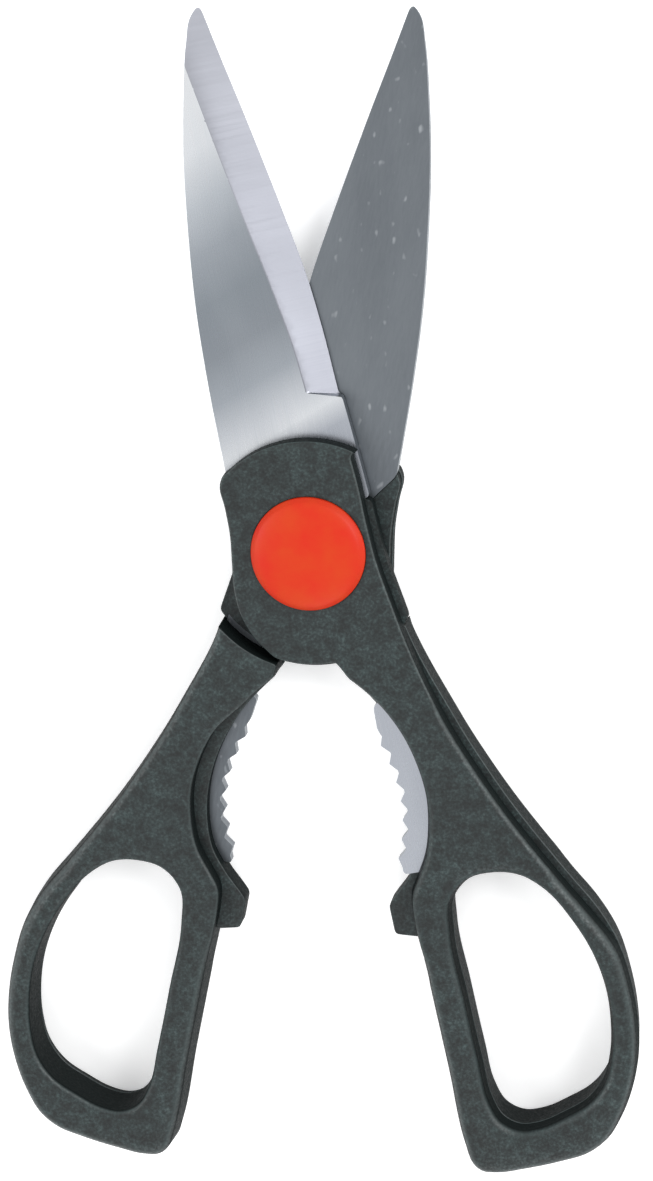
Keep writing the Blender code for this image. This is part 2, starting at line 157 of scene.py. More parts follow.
def smooth_run(knots: Sequence, step: float = OUTLINE_STEP, closed: bool = False) -> Points:
    """Draws a smooth curve through given points.

    Args:
        knots: the (x, y) points, in order.
        step: greatest distance between two points of the result.
        closed: whether the curve returns to its first point.

    Returns:
        The curve's points, one row each.
    """
    places = np.array(knots, float)
    count = len(places)

    def heading(before: Points, here: Points, after: Points) -> Points:
        """Direction at a point, weighted to its nearer neighbour.

        Args:
            before: the point before.
            here: the point.
            after: the point after.

        Returns:
            The direction, of length one.
        """
        back, ahead = here - before, after - here
        weights = [1 / max(float(np.linalg.norm(side)), 1e-9) for side in (back, ahead)]
        if not back.any():
            return unit(ahead)
        if not ahead.any():
            return unit(back)
        return unit(unit(back) * weights[0] + unit(ahead) * weights[1])

    made = []
    for index in range(count if closed else count - 1):
        numbers = [index + shift for shift in (-1, 0, 1, 2)]
        numbers = [n % count if closed else min(max(n, 0), count - 1) for n in numbers]
        before, start, end, after = places[numbers]
        span = float(np.linalg.norm(end - start))
        leave = heading(before, start, end) * span
        arrive = heading(start, end, after) * span
        steps = max(math.ceil(span / step), 1)
        t = np.arange(steps)[:, None] / steps
        made.append(start * (2 * t**3 - 3 * t**2 + 1) + leave * (t**3 - 2 * t**2 + t)
                    + end * (3 * t**2 - 2 * t**3) + arrive * (t**3 - t**2))
    if not closed:
        made.append(places[-1:])
    return np.vstack(made)


def arc(radius: float, start: float, end: float, centre: Sequence = (0.0, 0.0)) -> Points:
    """Draws a circular arc.

    Args:
        radius: its radius.
        start: direction of its first point, in degrees.
        end: direction of its last point, in degrees.
        centre: its centre.

    Returns:
        The arc's points.
    """
    steps = max(math.ceil(abs(math.radians(end - start)) * radius / OUTLINE_STEP), 2)
    angles = np.radians(np.linspace(start, end, steps + 1))
    return np.array(centre) + radius * np.column_stack((np.cos(angles), np.sin(angles)))


def polar(point: Sequence) -> float:
    """Direction of a point from the pivot, in degrees."""
    return math.degrees(math.atan2(point[1], point[0]))


def left_normals(points: Points, closed: bool = True) -> Points:
    """Finds the mitre at each point of an outline, to the left of its direction.

    Args:
        points: the outline.
        closed: whether the last point joins the first.

    Returns:
        For each point, the move that shifts both its edges by one millimetre.
    """
    ahead = np.roll(points, -1, axis=0) - points
    if not closed:
        ahead[-1] = ahead[-2]
    ahead /= np.maximum(np.linalg.norm(ahead, axis=1, keepdims=True), 1e-9)
    back = np.roll(ahead, 1, axis=0)
    if not closed:
        back[0] = ahead[0]
    mean = ahead + back
    mean /= np.maximum(np.linalg.norm(mean, axis=1, keepdims=True), 1e-9)
    stretch = np.maximum((mean * ahead).sum(axis=1, keepdims=True), MITRE_LIMIT)
    return np.column_stack((-mean[:, 1], mean[:, 0])) / stretch


def smooth_step(value: Points, low: float, high: float) -> Points:
    """Goes gently from 0 at low to 1 at high."""
    share = np.clip((value - low) / (high - low), 0.0, 1.0)
    return share * share * (3 - 2 * share)


def crowned(points: Points, distance: Points, crown: float) -> Points:
    """Height of a handle's face, which falls a little towards its edges away from the boss.

    Args:
        points: places on the face.
        distance: how far each is from the nearest edge.
        crown: how far the face falls.

    Returns:
        The heights.
    """
    away = smooth_step(-points[:, 1], 15.0, 40.0)
    return HALF_THICKNESS - crown * away * np.exp(-distance / CROWN_REACH)


@dataclass
class Rim:
    """A closed outline with material on its left, and how its upper edge is finished."""

    points: Points
    rounding: Points
    draft: Points

    @classmethod
    def joined(cls, stretches: Sequence[tuple[Points, float, float]]) -> "Rim":
        """Joins stretches of an outline end to end.

        Args:
            stretches: for each, its points, its rounding radius and its draft.

        Returns:
            The rim, evenly divided, with its rounding and draft eased between the stretches.
        """
        rows = [np.column_stack((points, np.full(len(points), rounding),
                                 np.full(len(points), draft)))
                for points, rounding, draft in stretches]
        rows = np.vstack([*rows, rows[0][:1]])
        lengths = np.linalg.norm(np.diff(rows[:, :2], axis=0), axis=1)
        reach = np.concatenate([[0.0], np.cumsum(lengths)])
        places = np.linspace(0, reach[-1], round(reach[-1] / OUTLINE_STEP), endpoint=False)
        even = np.column_stack([np.interp(places, reach, column) for column in rows.T])
        place_columns, edge_columns = (0, 2), (2, 4)
        for (first, last), rounds in ((place_columns, 2), (edge_columns, 12)):
            for _ in range(rounds):
                part = even[:, first:last]
                even[:, first:last] = (np.roll(part, 1, axis=0) + 2 * part
                                       + np.roll(part, -1, axis=0)) / 4
        return cls(even[:, :2], even[:, 2], even[:, 3])

    @property
    def face(self) -> Points:
        """The outline at the top of the wall, set back by the draft."""
        return self.points + left_normals(self.points) * self.draft[:, None]


def nearest(points: Points, rims: Sequence[Rim]) -> tuple[Points, Points]:
    """Measures points against the edges of a face.

    Args:
        points: the points.
        rims: the face's outlines.

    Returns:
        Each point's distance to the nearest edge, and the rounding radius there.
    """
    starts = np.vstack([rim.face for rim in rims])
    ends = np.vstack([np.roll(rim.face, -1, axis=0) for rim in rims])
    radii = np.concatenate([rim.rounding for rim in rims])
    spans = ends - starts
    lengths = np.maximum((spans**2).sum(axis=1), 1e-12)
    distance = np.empty(len(points))
    rounding = np.empty(len(points))
    block = 400
    for first in range(0, len(points), block):
        part = points[first:first + block, None, :] - starts[None]
        along = np.clip((part * spans).sum(axis=2) / lengths, 0.0, 1.0)
        away = ((part - along[..., None] * spans)**2).sum(axis=2)
        best = away.argmin(axis=1)
        distance[first:first + block] = np.sqrt(away[np.arange(len(best)), best])
        rounding[first:first + block] = radii[best]
    return distance, rounding


def inside(points: Points, outlines: Sequence[Points]) -> Points:
    """Tells which points lie on the material, by counting the edges to their right.

    Args:
        points: the points.
        outlines: the closed outlines, material on their left.

    Returns:
        For each point, whether it lies on the material.
    """
    starts = np.vstack(outlines)
    ends = np.vstack([np.roll(outline, -1, axis=0) for outline in outlines])
    result = np.empty(len(points), bool)
    block = 2000
    rise = ends[:, 1] - starts[:, 1]
    rise = np.where(rise == 0, 1e-12, rise)
    for first in range(0, len(points), block):
        x = points[first:first + block, 0:1]
        y = points[first:first + block, 1:2]
        spans = (starts[:, 1] > y) != (ends[:, 1] > y)
        across = starts[:, 0] + (y - starts[:, 1]) * (ends[:, 0] - starts[:, 0]) / rise
        result[first:first + block] = (spans & (x < across)).sum(axis=1) % 2 == 1
    return result


def triangulated(outlines: Sequence[Points], extra: Points) -> tuple[Points, Points, list[Points]]:
    """Divides a flat face into triangles.

    Args:
        outlines: the face's closed outlines.
        extra: points inside it that become corners too.

    Returns:
        The corners, the triangles, and each outline's corner numbers.
    """
    points = np.vstack([*outlines, extra])
    edges = []
    first = 0
    for outline in outlines:
        count = len(outline)
        edges += [(first + n, first + (n + 1) % count) for n in range(count)]
        first += count
    corners, _, faces, origins, _, _ = delaunay_2d_cdt([Vector(p) for p in points.tolist()],
                                                       edges, [], 0, 1e-5)
    number = np.full(len(points), -1)
    for corner, sources in enumerate(origins):
        number[sources] = corner
    flat = np.array([corner[:] for corner in corners])
    triangles = np.array(faces)
    first_side = flat[triangles[:, 1]] - flat[triangles[:, 0]]
    last_side = flat[triangles[:, 2]] - flat[triangles[:, 0]]
    area = np.abs(first_side[:, 0] * last_side[:, 1] - first_side[:, 1] * last_side[:, 0])
    longest = np.linalg.norm(first_side, axis=1) + np.linalg.norm(last_side, axis=1)
    on_edge = np.isin(triangles, number[:first]).all(axis=1)
    kept = (inside(flat[triangles].mean(axis=1), outlines)
            & ~(on_edge & (area < SLIVER * longest)))
    loops = []
    first = 0
    for outline in outlines:
        loops.append(number[first:first + len(outline)])
        first += len(outline)
    return flat, triangles[kept], loops


def hexagonal(low: Points, high: Points, step: float) -> Points:
    """Points of an even triangular grid that fills a box.

    Args:
        low: the box's lower left corner.
        high: its upper right corner.
        step: distance between neighbours.

    Returns:
        The points.
    """
    rows = []
    for number, y in enumerate(np.arange(low[1], high[1], step * math.sqrt(3) / 2)):
        x = np.arange(low[0] + (number % 2) * step / 2, high[0], step)
        rows.append(np.column_stack((x, np.full(len(x), y))))
    return np.vstack(rows)


@dataclass
class Relief:
    """A solid with a flat underside, upright or drafted walls and a shaped upper face."""

    name: str
    rims: list[Rim]
    low: float
    top: Callable[[Points, Points], Points]
    seam: float = 0.12
    rounding_steps: int = ROUNDING_STEPS
    extra: Points = field(default_factory=lambda: np.empty((0, 2)))

    def corners(self) -> Points:
        """Chooses the points inside the face: rings along its edges, and a grid between them.

        Returns:
            The points.
        """
        faces = [rim.face for rim in self.rims]
        grid = hexagonal(faces[0].min(axis=0), faces[0].max(axis=0), FACE_STEP)
        grid = grid[inside(grid, faces)]
        distance, rounding = nearest(grid, self.rims)
        kept = [grid[distance > rounding + GRID_CLEARANCE * FACE_STEP]]
        for rim, outline in zip(self.rims, faces):
            if not rim.rounding.any():
                continue
            mitres = left_normals(outline)
            for step in range(1, self.rounding_steps + 1):
                quarter = math.pi / 2 * step / self.rounding_steps
                inset = rim.rounding * (1 - math.cos(quarter))
                ring = outline + mitres * inset[:, None]
                distance, _ = nearest(ring, self.rims)
                kept.append(ring[distance > np.maximum(RING_CLEARANCE * inset, LEAST_INSET)])
        if len(self.extra):
            distance, _ = nearest(self.extra, self.rims)
            kept.append(self.extra[inside(self.extra, faces) & (distance > GUIDE_CLEARANCE)])
        every = np.vstack(kept)
        _, chosen = np.unique(np.round(every / NEAREST_CORNERS), axis=0, return_index=True)
        return every[np.sort(chosen)]

    def height(self, points: Points) -> Points:
        """Height of the upper face at given points.

        Args:
            points: the points.

        Returns:
            The heights.
        """
        distance, radius = nearest(points, self.rims)
        into = np.clip(radius - distance, 0.0, radius)
        drop = radius - np.sqrt(np.maximum(radius**2 - into**2, 0.0))
        return np.maximum(self.top(points, distance) - drop, self.low + self.seam + LEAST_WALL)

    def build(self) -> bpy.types.Object:
        """Makes the closed mesh.

        Returns:
            The solid.
        """
        faces = [rim.face for rim in self.rims]
        flat, triangles, loops = triangulated(faces, self.corners())
        verts = [np.column_stack((flat, self.height(flat)))]
        polygons = [tuple(row) for row in triangles.tolist()]
        total = len(flat)
        feet = []
        wall_steps = 3
        for rim, outline, loop in zip(self.rims, faces, loops):
            upper = verts[0][loop][:, 2]
            ring_above = loop
            levels = [(outline + (rim.points - outline) * share,
                       upper + (self.low + self.seam - upper) * share)
                      for share in np.arange(1, wall_steps + 1) / wall_steps]
            levels.append((rim.points + left_normals(rim.points) * self.seam,
                           np.full(len(loop), self.low)))
            for places, heights in levels:
                verts.append(np.column_stack((places, heights)))
                ring = np.arange(total, total + len(loop))
                total += len(loop)
                polygons += [(a, b, c, d) for a, b, c, d in zip(
                    ring.tolist(), np.roll(ring, -1).tolist(), np.roll(ring_above, -1).tolist(),
                    ring_above.tolist())]
                ring_above = ring
            feet.append((levels[-1][0], ring_above))
        under, triangles, loops = triangulated([outline for outline, _ in feet],
                                               np.empty((0, 2)))
        number = np.full(len(under), -1)
        for (_, ring), loop in zip(feet, loops):
            number[loop] = ring
        polygons += [tuple(row[::-1]) for row in number[triangles].tolist()]
        return new_object(self.name, np.vstack(verts), polygons)


def linked(name: str, data: bpy.types.ID) -> bpy.types.Object:
    """Adds an object that holds given data to the scene.

    Args:
        name: its name.
        data: its mesh, curve, light or camera.

    Returns:
        The object.
    """
    item = bpy.data.objects.new(name, data)
    bpy.context.scene.collection.objects.link(item)
    return item


def new_object(name: str, verts: Points, polygons: Sequence) -> bpy.types.Object:
    """Adds a mesh object, with its lengths still in millimetres.

    Args:
        name: its name.
        verts: its corners.
        polygons: the corner numbers of each face.

    Returns:
        The object.
    """
    mesh = bpy.data.meshes.new(name)
    mesh.from_pydata(verts.tolist(), [], polygons)
    mesh.validate()
    return linked(name, mesh)


def plate(name: str, rim: Rim, low: float, high: float, edge: float = 0.0) -> bpy.types.Object:
    """Makes a flat plate.

    Args:
        name: its name.
        rim: its outline.
        low: height of its underside.
        high: height of its upper face.
        edge: size of the chamfer round the underside.

    Returns:
        The plate, with its rim's own rounding above.
    """
    return Relief(name, [rim], low, lambda points, _: np.full(len(points), high), seam=edge,
                  rounding_steps=3).build()


def turned(name: str, profile: Sequence[tuple[float, float]], sides: int,
           centre: Sequence = (0.0, 0.0)) -> bpy.types.Object:
    """Turns a profile round an axis.

    Args:
        name: its name.
        profile: (radius, height) points from the top of the axis, down the outside, to the axis.
        sides: number of steps round the axis.
        centre: where the axis stands.

    Returns:
        The closed solid.
    """
    angles = np.linspace(0, 2 * math.pi, sides, endpoint=False)
    inner = profile[1:-1]
    verts = [(0.0, 0.0, profile[0][1])]
    for radius, height in inner:
        verts += [(radius * math.cos(a), radius * math.sin(a), height) for a in angles]
    verts.append((0.0, 0.0, profile[-1][1]))
    last = len(verts) - 1
    polygons = [(0, 1 + n, 1 + (n + 1) % sides) for n in range(sides)]
    for row in range(len(inner) - 1):
        above, below = 1 + row * sides, 1 + (row + 1) * sides
        polygons += [(above + n, below + n, below + (n + 1) % sides, above + (n + 1) % sides)
                     for n in range(sides)]
    foot = 1 + (len(inner) - 1) * sides
    polygons += [(last, foot + (n + 1) % sides, foot + n) for n in range(sides)]
    return new_object(name, np.array(verts) + np.array((*centre, 0.0)), polygons)


def rod(name: str, radius: float, low: float, high: float,
        centre: Sequence = (0.0, 0.0)) -> bpy.types.Object:
    """A round bar along the pivot's direction."""
    return turned(name, ((0, high), (radius, high), (radius, low), (0, low)), ROD_SIDES,
                  centre)


def evaluated_mesh(item: bpy.types.Object) -> bpy.types.Mesh:
    """A new mesh that holds what an object's modifiers make of it.

    Args:
        item: the object.

    Returns:
        The mesh.
    """
    bpy.context.view_layer.update()
    graph = bpy.context.evaluated_depsgraph_get()
    return bpy.data.meshes.new_from_object(item.evaluated_get(graph))


def combine(body: bpy.types.Object, tool: bpy.types.Object, operation: str) -> None:
    """Joins a closed tool to a closed body, or cuts it away, and removes the tool.

    Args:
        body: the solid that is changed.
        tool: the solid that changes it.
        operation: UNION or DIFFERENCE.
    """
    change = body.modifiers.new(tool.name, "BOOLEAN")
    change.operation = operation
    change.solver = "MANIFOLD"
    change.object = tool
    before = len(body.data.polygons)
    mesh = evaluated_mesh(body)
    body.modifiers.clear()
    body.data = mesh
    if len(mesh.polygons) == before:
        LOG.error("%s left %s unchanged", tool.name, body.name)
    bpy.data.objects.remove(tool)


def mirrored(item: bpy.types.Object) -> bpy.types.Object:
    """Reflects a solid in the sliding plane.

    Args:
        item: the solid.

    Returns:
        The same solid.
    """
    item.data.transform(Matrix.Diagonal((1, 1, -1, 1)))
    item.data.flip_normals()
    return item


# ---------------------------------------------------------------------------------------------
# Finishes


# Sockets of a Mix node that mixes colours, by number: its two colours, and the result.
FIRST, SECOND, MIXED = 6, 7, 2
COLOURS = {"data_type": "RGBA", "wanted": MIXED}
TINTED = {"blend_type": "MULTIPLY", **COLOURS}


def linear(code: str) -> tuple[float, float, float, float]:
    """Turns an sRGB hex colour into linear red, green, blue and alpha."""
    parts = [int(code[n:n + 2], 16) / 255 for n in (1, 3, 5)]
    return (*[p / 12.92 if p <= 0.04045 else ((p + 0.055) / 1.055)**2.4 for p in parts], 1.0)


def add_node(tree: bpy.types.NodeTree, kind: str, inputs: dict | None = None,
             stops: Sequence = (), wanted: int | str = 0,
             **settings: Any) -> bpy.types.NodeSocket | None:
    """Adds a node with its settings and links.

    Args:
        tree: the node tree.
        kind: the node's type.
        inputs: for each input, by name or number, its value, its hex colour or the socket that
            feeds it.
        stops: a colour ramp's (place, shade) pairs, each shade a hex colour or a linear grey.
        wanted: the name or number of the output to return.
        settings: the node's own properties.

    Returns:
        The wanted output, or nothing for a node that has none.
    """
    node = tree.nodes.new(kind)
    for name, value in settings.items():
        setattr(node, name, value)
    for name, value in (inputs or {}).items():
        if isinstance(value, bpy.types.NodeSocket):
            tree.links.new(value, node.inputs[name])
        else:
            node.inputs[name].default_value = linear(value) if isinstance(value, str) else value
    for _ in stops[2:]:
        node.color_ramp.elements.new(0.5)
    for number, (place, shade) in enumerate(stops):
        element = node.color_ramp.elements[number]
        element.position = place
        element.color = linear(shade) if isinstance(shade, str) else (shade, shade, shade, 1.0)
    return node.outputs[wanted] if node.outputs else None


def object_pattern(tree: bpy.types.NodeTree, size: Sequence[float],
                   turn: float = 0.0) -> bpy.types.NodeSocket:
    """Object coordinates counted in pattern sizes.

    Args:
        tree: the material's tree.
        size: the pattern's size along X, Y and Z, in millimetres.
        turn: how far the pattern is turned about Z, in radians.

    Returns:
        The socket that carries the coordinates.
    """
    place = add_node(tree, "ShaderNodeTexCoord", wanted="Object")
    turned_back = add_node(tree, "ShaderNodeMapping",
                           {"Vector": place, "Rotation": (0.0, 0.0, -turn)})
    scale = tuple(1 / (length * MM) for length in size)
    return add_node(tree, "ShaderNodeMapping", {"Vector": turned_back, "Scale": scale})


def grain(tree: bpy.types.NodeTree, size: Sequence[float], turn: float = 0.0,
          **noise: float) -> bpy.types.NodeSocket:
    """Uneven grain of a real size.

    Args:
        tree: the material's tree.
        size: the grain's size along X, Y and Z, in millimetres.
        turn: how far it is turned about Z, in radians.
        noise: the noise's own inputs.

    Returns:
        The socket that carries its strength, about 0.3 to 0.7.
    """
    inputs = {"Vector": object_pattern(tree, size, turn), "Scale": 1.0, **noise}
    return add_node(tree, "ShaderNodeTexNoise", inputs, wanted="Fac")


@dataclass(frozen=True)
class Finish:
    """A material; each kind of finish says what its surface is."""

    name: str

    def surface(self, tree: bpy.types.NodeTree) -> dict:
        """The surface's inputs, which each kind of finish makes in its own way."""
        raise NotImplementedError

    def build(self) -> bpy.types.Material:
        """Makes the material.

        Returns:
            The material.
        """
        material = bpy.data.materials.new(self.name)
        material.use_nodes = True
        tree = material.node_tree
        tree.nodes.clear()
        shader = add_node(tree, "ShaderNodeBsdfPrincipled", self.surface(tree))
        add_node(tree, "ShaderNodeOutputMaterial", {"Surface": shader})
        return material


@dataclass(frozen=True)
class GrainedPlastic(Finish):
    """ABS moulded in a spark-eroded tool: a dull skin of fine pits, with lighter scuffed grains.

    Real grain is 0.1 mm, drawn coarser so that it shows. Faces are scuffed and catch light.
    Upright walls are painted darker, a painted shade, and the rounded edges between walls and
    faces are painted lighter, a painted highlight.
    """

    colour: str = "#1E2929"
    grain_colour: str = "#354242"
    deep_colour: str = "#151D1E"
    # Painted shade: the dark colour that upright walls are painted, set by which way they face.
    wall_shade_colour: str = "#141919"
    # Painted highlight: the lighter colour painted along rounded edges.
    edge_highlight_colour: str = "#3A4848"
    grain_mm: float = 0.5
    patch_mm: float = 2.2
    drift_mm: float = 14.0

    def surface(self, tree: bpy.types.NodeTree) -> dict:
        """Mottled faces, walls darkened by painted shade, and a painted highlight on the edges
        between.

        Args:
            tree: the material's tree.

        Returns:
            The surface's inputs.
        """
        ramp = "ShaderNodeValToRGB"
        fine = grain(tree, (self.grain_mm,) * 3, Detail=3.0, Roughness=0.6)
        patches = grain(tree, (self.patch_mm,) * 3, Detail=4.0, Roughness=0.65)
        drift = grain(tree, (self.drift_mm,) * 3, Detail=2.0)
        speckle = add_node(tree, ramp, {"Fac": fine}, ((0.34, self.deep_colour),
                                                       (0.50, self.colour),
                                                       (0.70, self.grain_colour)))
        cloud = add_node(tree, ramp, {"Fac": patches}, ((0.38, 0.40), (0.62, 1.15)))
        shift = add_node(tree, ramp, {"Fac": drift}, ((0.36, 0.75), (0.62, 1.0)))
        mottle = add_node(tree, "ShaderNodeMix", {"Factor": 1.0, FIRST: cloud, SECOND: shift},
                          **TINTED)
        scuffed = add_node(tree, "ShaderNodeMix",
                           {"Factor": 1.0, FIRST: speckle, SECOND: mottle}, **TINTED)
        normal = add_node(tree, "ShaderNodeNewGeometry", wanted="Normal")
        upright = add_node(tree, "ShaderNodeSeparateXYZ", {0: normal}, wanted="Z")
        level = add_node(tree, "ShaderNodeMath", {0: upright}, operation="ABSOLUTE")
        # Painted shade: upright walls take the dark wall colour and flat faces their mottled
        # colour.
        facing = add_node(tree, ramp, {"Fac": level}, ((0.35, 0.0), (0.75, 1.0)))
        # Painted highlight: edges that are neither upright nor flat are painted lighter.
        edge_highlight = add_node(tree, ramp, {"Fac": level}, ((0.45, 0.0), (0.72, 0.35), (0.96, 0.0)))
        plain = add_node(tree, "ShaderNodeMix",
                         {"Factor": facing, FIRST: self.wall_shade_colour, SECOND: scuffed}, **COLOURS)
        colour = add_node(tree, "ShaderNodeMix",
                          {"Factor": edge_highlight, FIRST: plain, SECOND: self.edge_highlight_colour}, **COLOURS)
        sheen = add_node(tree, ramp, {"Fac": level}, ((0.35, 0.02), (0.72, 0.5), (0.97, 0.40)))
        gloss = add_node(tree, ramp, {"Fac": fine}, ((0.35, 0.62), (0.7, 0.38)))
        pits = add_node(tree, "ShaderNodeBump",
                        {"Height": fine, "Strength": 0.6, "Distance": 0.10 * MM})
        return {"Base Color": colour, "Roughness": gloss, "IOR": 1.53,
                "Specular IOR Level": sheen, "Normal": pits}


@dataclass(frozen=True)
class BrushedSteel(Finish):
    """Martensitic stainless steel, belt-ground: faint lines that draw its highlights out.

    The grinding lines run along the pattern's own Y. Real ones are under 0.1 mm apart, drawn
    coarser so that they show. Bands are the highlights and dark reflections that a long polished
    face shows, counted in millimetres from the pivot.
    """

    colour: str
    shade: str
    roughness: float
    line_mm: float = 0.22
    run_mm: float = 14.0
    relief: float = 0.12
    turn: float = 0.0
    bands: tuple[tuple[float, str], ...] = ()
    band_turn: float = 0.0
    specks: str = ""

    def surface(self, tree: bpy.types.NodeTree) -> dict:
        """Ground lines over faint clouds, with the bands and the specks of dust it has.

        Args:
            tree: the material's tree.

        Returns:
            The surface's inputs.
        """
        ramp = "ShaderNodeValToRGB"
        lines = grain(tree, (self.line_mm, self.run_mm, self.run_mm), self.turn,
                      Detail=4.0, Roughness=0.6)
        cloud = grain(tree, (9.0, 22.0, 9.0), self.turn, Detail=2.0)
        both = add_node(tree, "ShaderNodeMix", {"Factor": 0.45, 2: lines, 3: cloud},
                        data_type="FLOAT")
        colour = add_node(tree, ramp, {"Fac": both}, ((0.36, self.shade), (0.64, self.colour)))
        if self.bands:
            # Painted reflections: the bands of painted highlight and dark reflection tint the
            # steel's colour.
            place = object_pattern(tree, (BLADE_REACH,) * 3, self.band_turn)
            along = add_node(tree, "ShaderNodeSeparateXYZ", {0: place}, wanted="Y")
            reflection_bands = add_node(tree, ramp, {"Fac": along}, [(length / BLADE_REACH, shade)
                                                           for length, shade in self.bands])
            colour = add_node(tree, "ShaderNodeMix",
                              {"Factor": 1.0, FIRST: colour, SECOND: reflection_bands}, **TINTED)
        if self.specks:
            dust = grain(tree, (1.4, 2.4, 1.4), self.turn, Detail=1.0)
            marks = add_node(tree, ramp, {"Fac": dust}, ((0.68, 0.0), (0.80, 0.8)))
            colour = add_node(tree, "ShaderNodeMix",
                              {"Factor": marks, FIRST: colour, SECOND: self.specks}, **COLOURS)
        gloss = add_node(tree, ramp, {"Fac": lines}, ((0.3, self.roughness + 0.05),
                                                      (0.7, self.roughness - 0.04)))
        scratches = add_node(tree, "ShaderNodeBump",
                             {"Height": lines, "Strength": self.relief, "Distance": 0.02 * MM})
        return {"Base Color": colour, "Roughness": gloss, "Metallic": 1.0, "Normal": scratches}


@dataclass(frozen=True)
class SatinPlastic(Finish):
    """Polypropylene moulded in a fine-blasted tool: an even satin sheen, slightly mottled."""

    colour: str = "#BC2816"
    mottle: str = "#BA3615"

    def surface(self, tree: bpy.types.NodeTree) -> dict:
        """A skin of pits over a faint drift of colour; real pits are finer than 0.3 mm.

        Args:
            tree: the material's tree.

        Returns:
            The surface's inputs.
        """
        ramp = "ShaderNodeValToRGB"
        skin = grain(tree, (0.3,) * 3, Detail=2.0)
        cloud = grain(tree, (6.0,) * 3, Detail=3.0)
        colour = add_node(tree, ramp, {"Fac": cloud}, ((0.35, self.colour), (0.65, self.mottle)))
        gloss = add_node(tree, ramp, {"Fac": cloud}, ((0.3, 0.38), (0.7, 0.46)))
        pits = add_node(tree, "ShaderNodeBump",
                        {"Height": skin, "Strength": 0.2, "Distance": 0.02 * MM})
        return {"Base Color": colour, "Roughness": gloss, "IOR": 1.49,
                "Specular IOR Level": 0.15, "Normal": pits}


@dataclass(frozen=True)
class StudioTable(Finish):
    """Matt white acrylic sheet over a dim light table: pale and even, and it fills shadows."""

    glow: float = 0.3
    colour: str = "#F8F8F8"
    light_colour: str = "#FBFBFB"

    def surface(self, tree: bpy.types.NodeTree) -> dict:
        """A faintly uneven white that glows a little.

        Args:
            tree: the material's tree.

        Returns:
            The surface's inputs.
        """
        colour = add_node(tree, "ShaderNodeValToRGB", {"Fac": grain(tree, (4.0,) * 3)},
                          ((0.3, self.colour), (0.7, self.light_colour)))
        return {"Base Color": colour, "Roughness": 0.9, "Specular IOR Level": 0.2,
                "Emission Color": colour, "Emission Strength": self.glow}


def placed(item: bpy.types.Object, name: str, arm: Arm, finishes: Sequence[bpy.types.Material],
           nodes: Sequence[str]) -> bpy.types.Object:
    """Puts a finished piece in its place and ties it to the frame.

    Args:
        item: the piece, drawn in its arm's frame.
        name: its name.
        arm: the arm that carries it.
        finishes: its materials, in the order of its faces' material numbers.
        nodes: the CAD nodes that it stands for.

    Returns:
        The piece.
    """
    item.name = name
    item.data.name = name
    item.data.transform(arm.placing)
    numbers = np.empty(len(item.data.polygons), np.int32)
    item.data.polygons.foreach_get("material_index", numbers)
    item.data.materials.clear()
    for finish in finishes:
        item.data.materials.append(finish)
    item.data.polygons.foreach_set("material_index", np.minimum(numbers, len(finishes) - 1))
    item.data.shade_smooth()
    item.data.set_sharp_from_angle(angle=SHARP_ANGLE)
    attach(item, arm.body)
    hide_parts(*nodes)
    LOG.info("%s: %d faces", name, len(item.data.polygons))
    return item


# ---------------------------------------------------------------------------------------------
# The steel


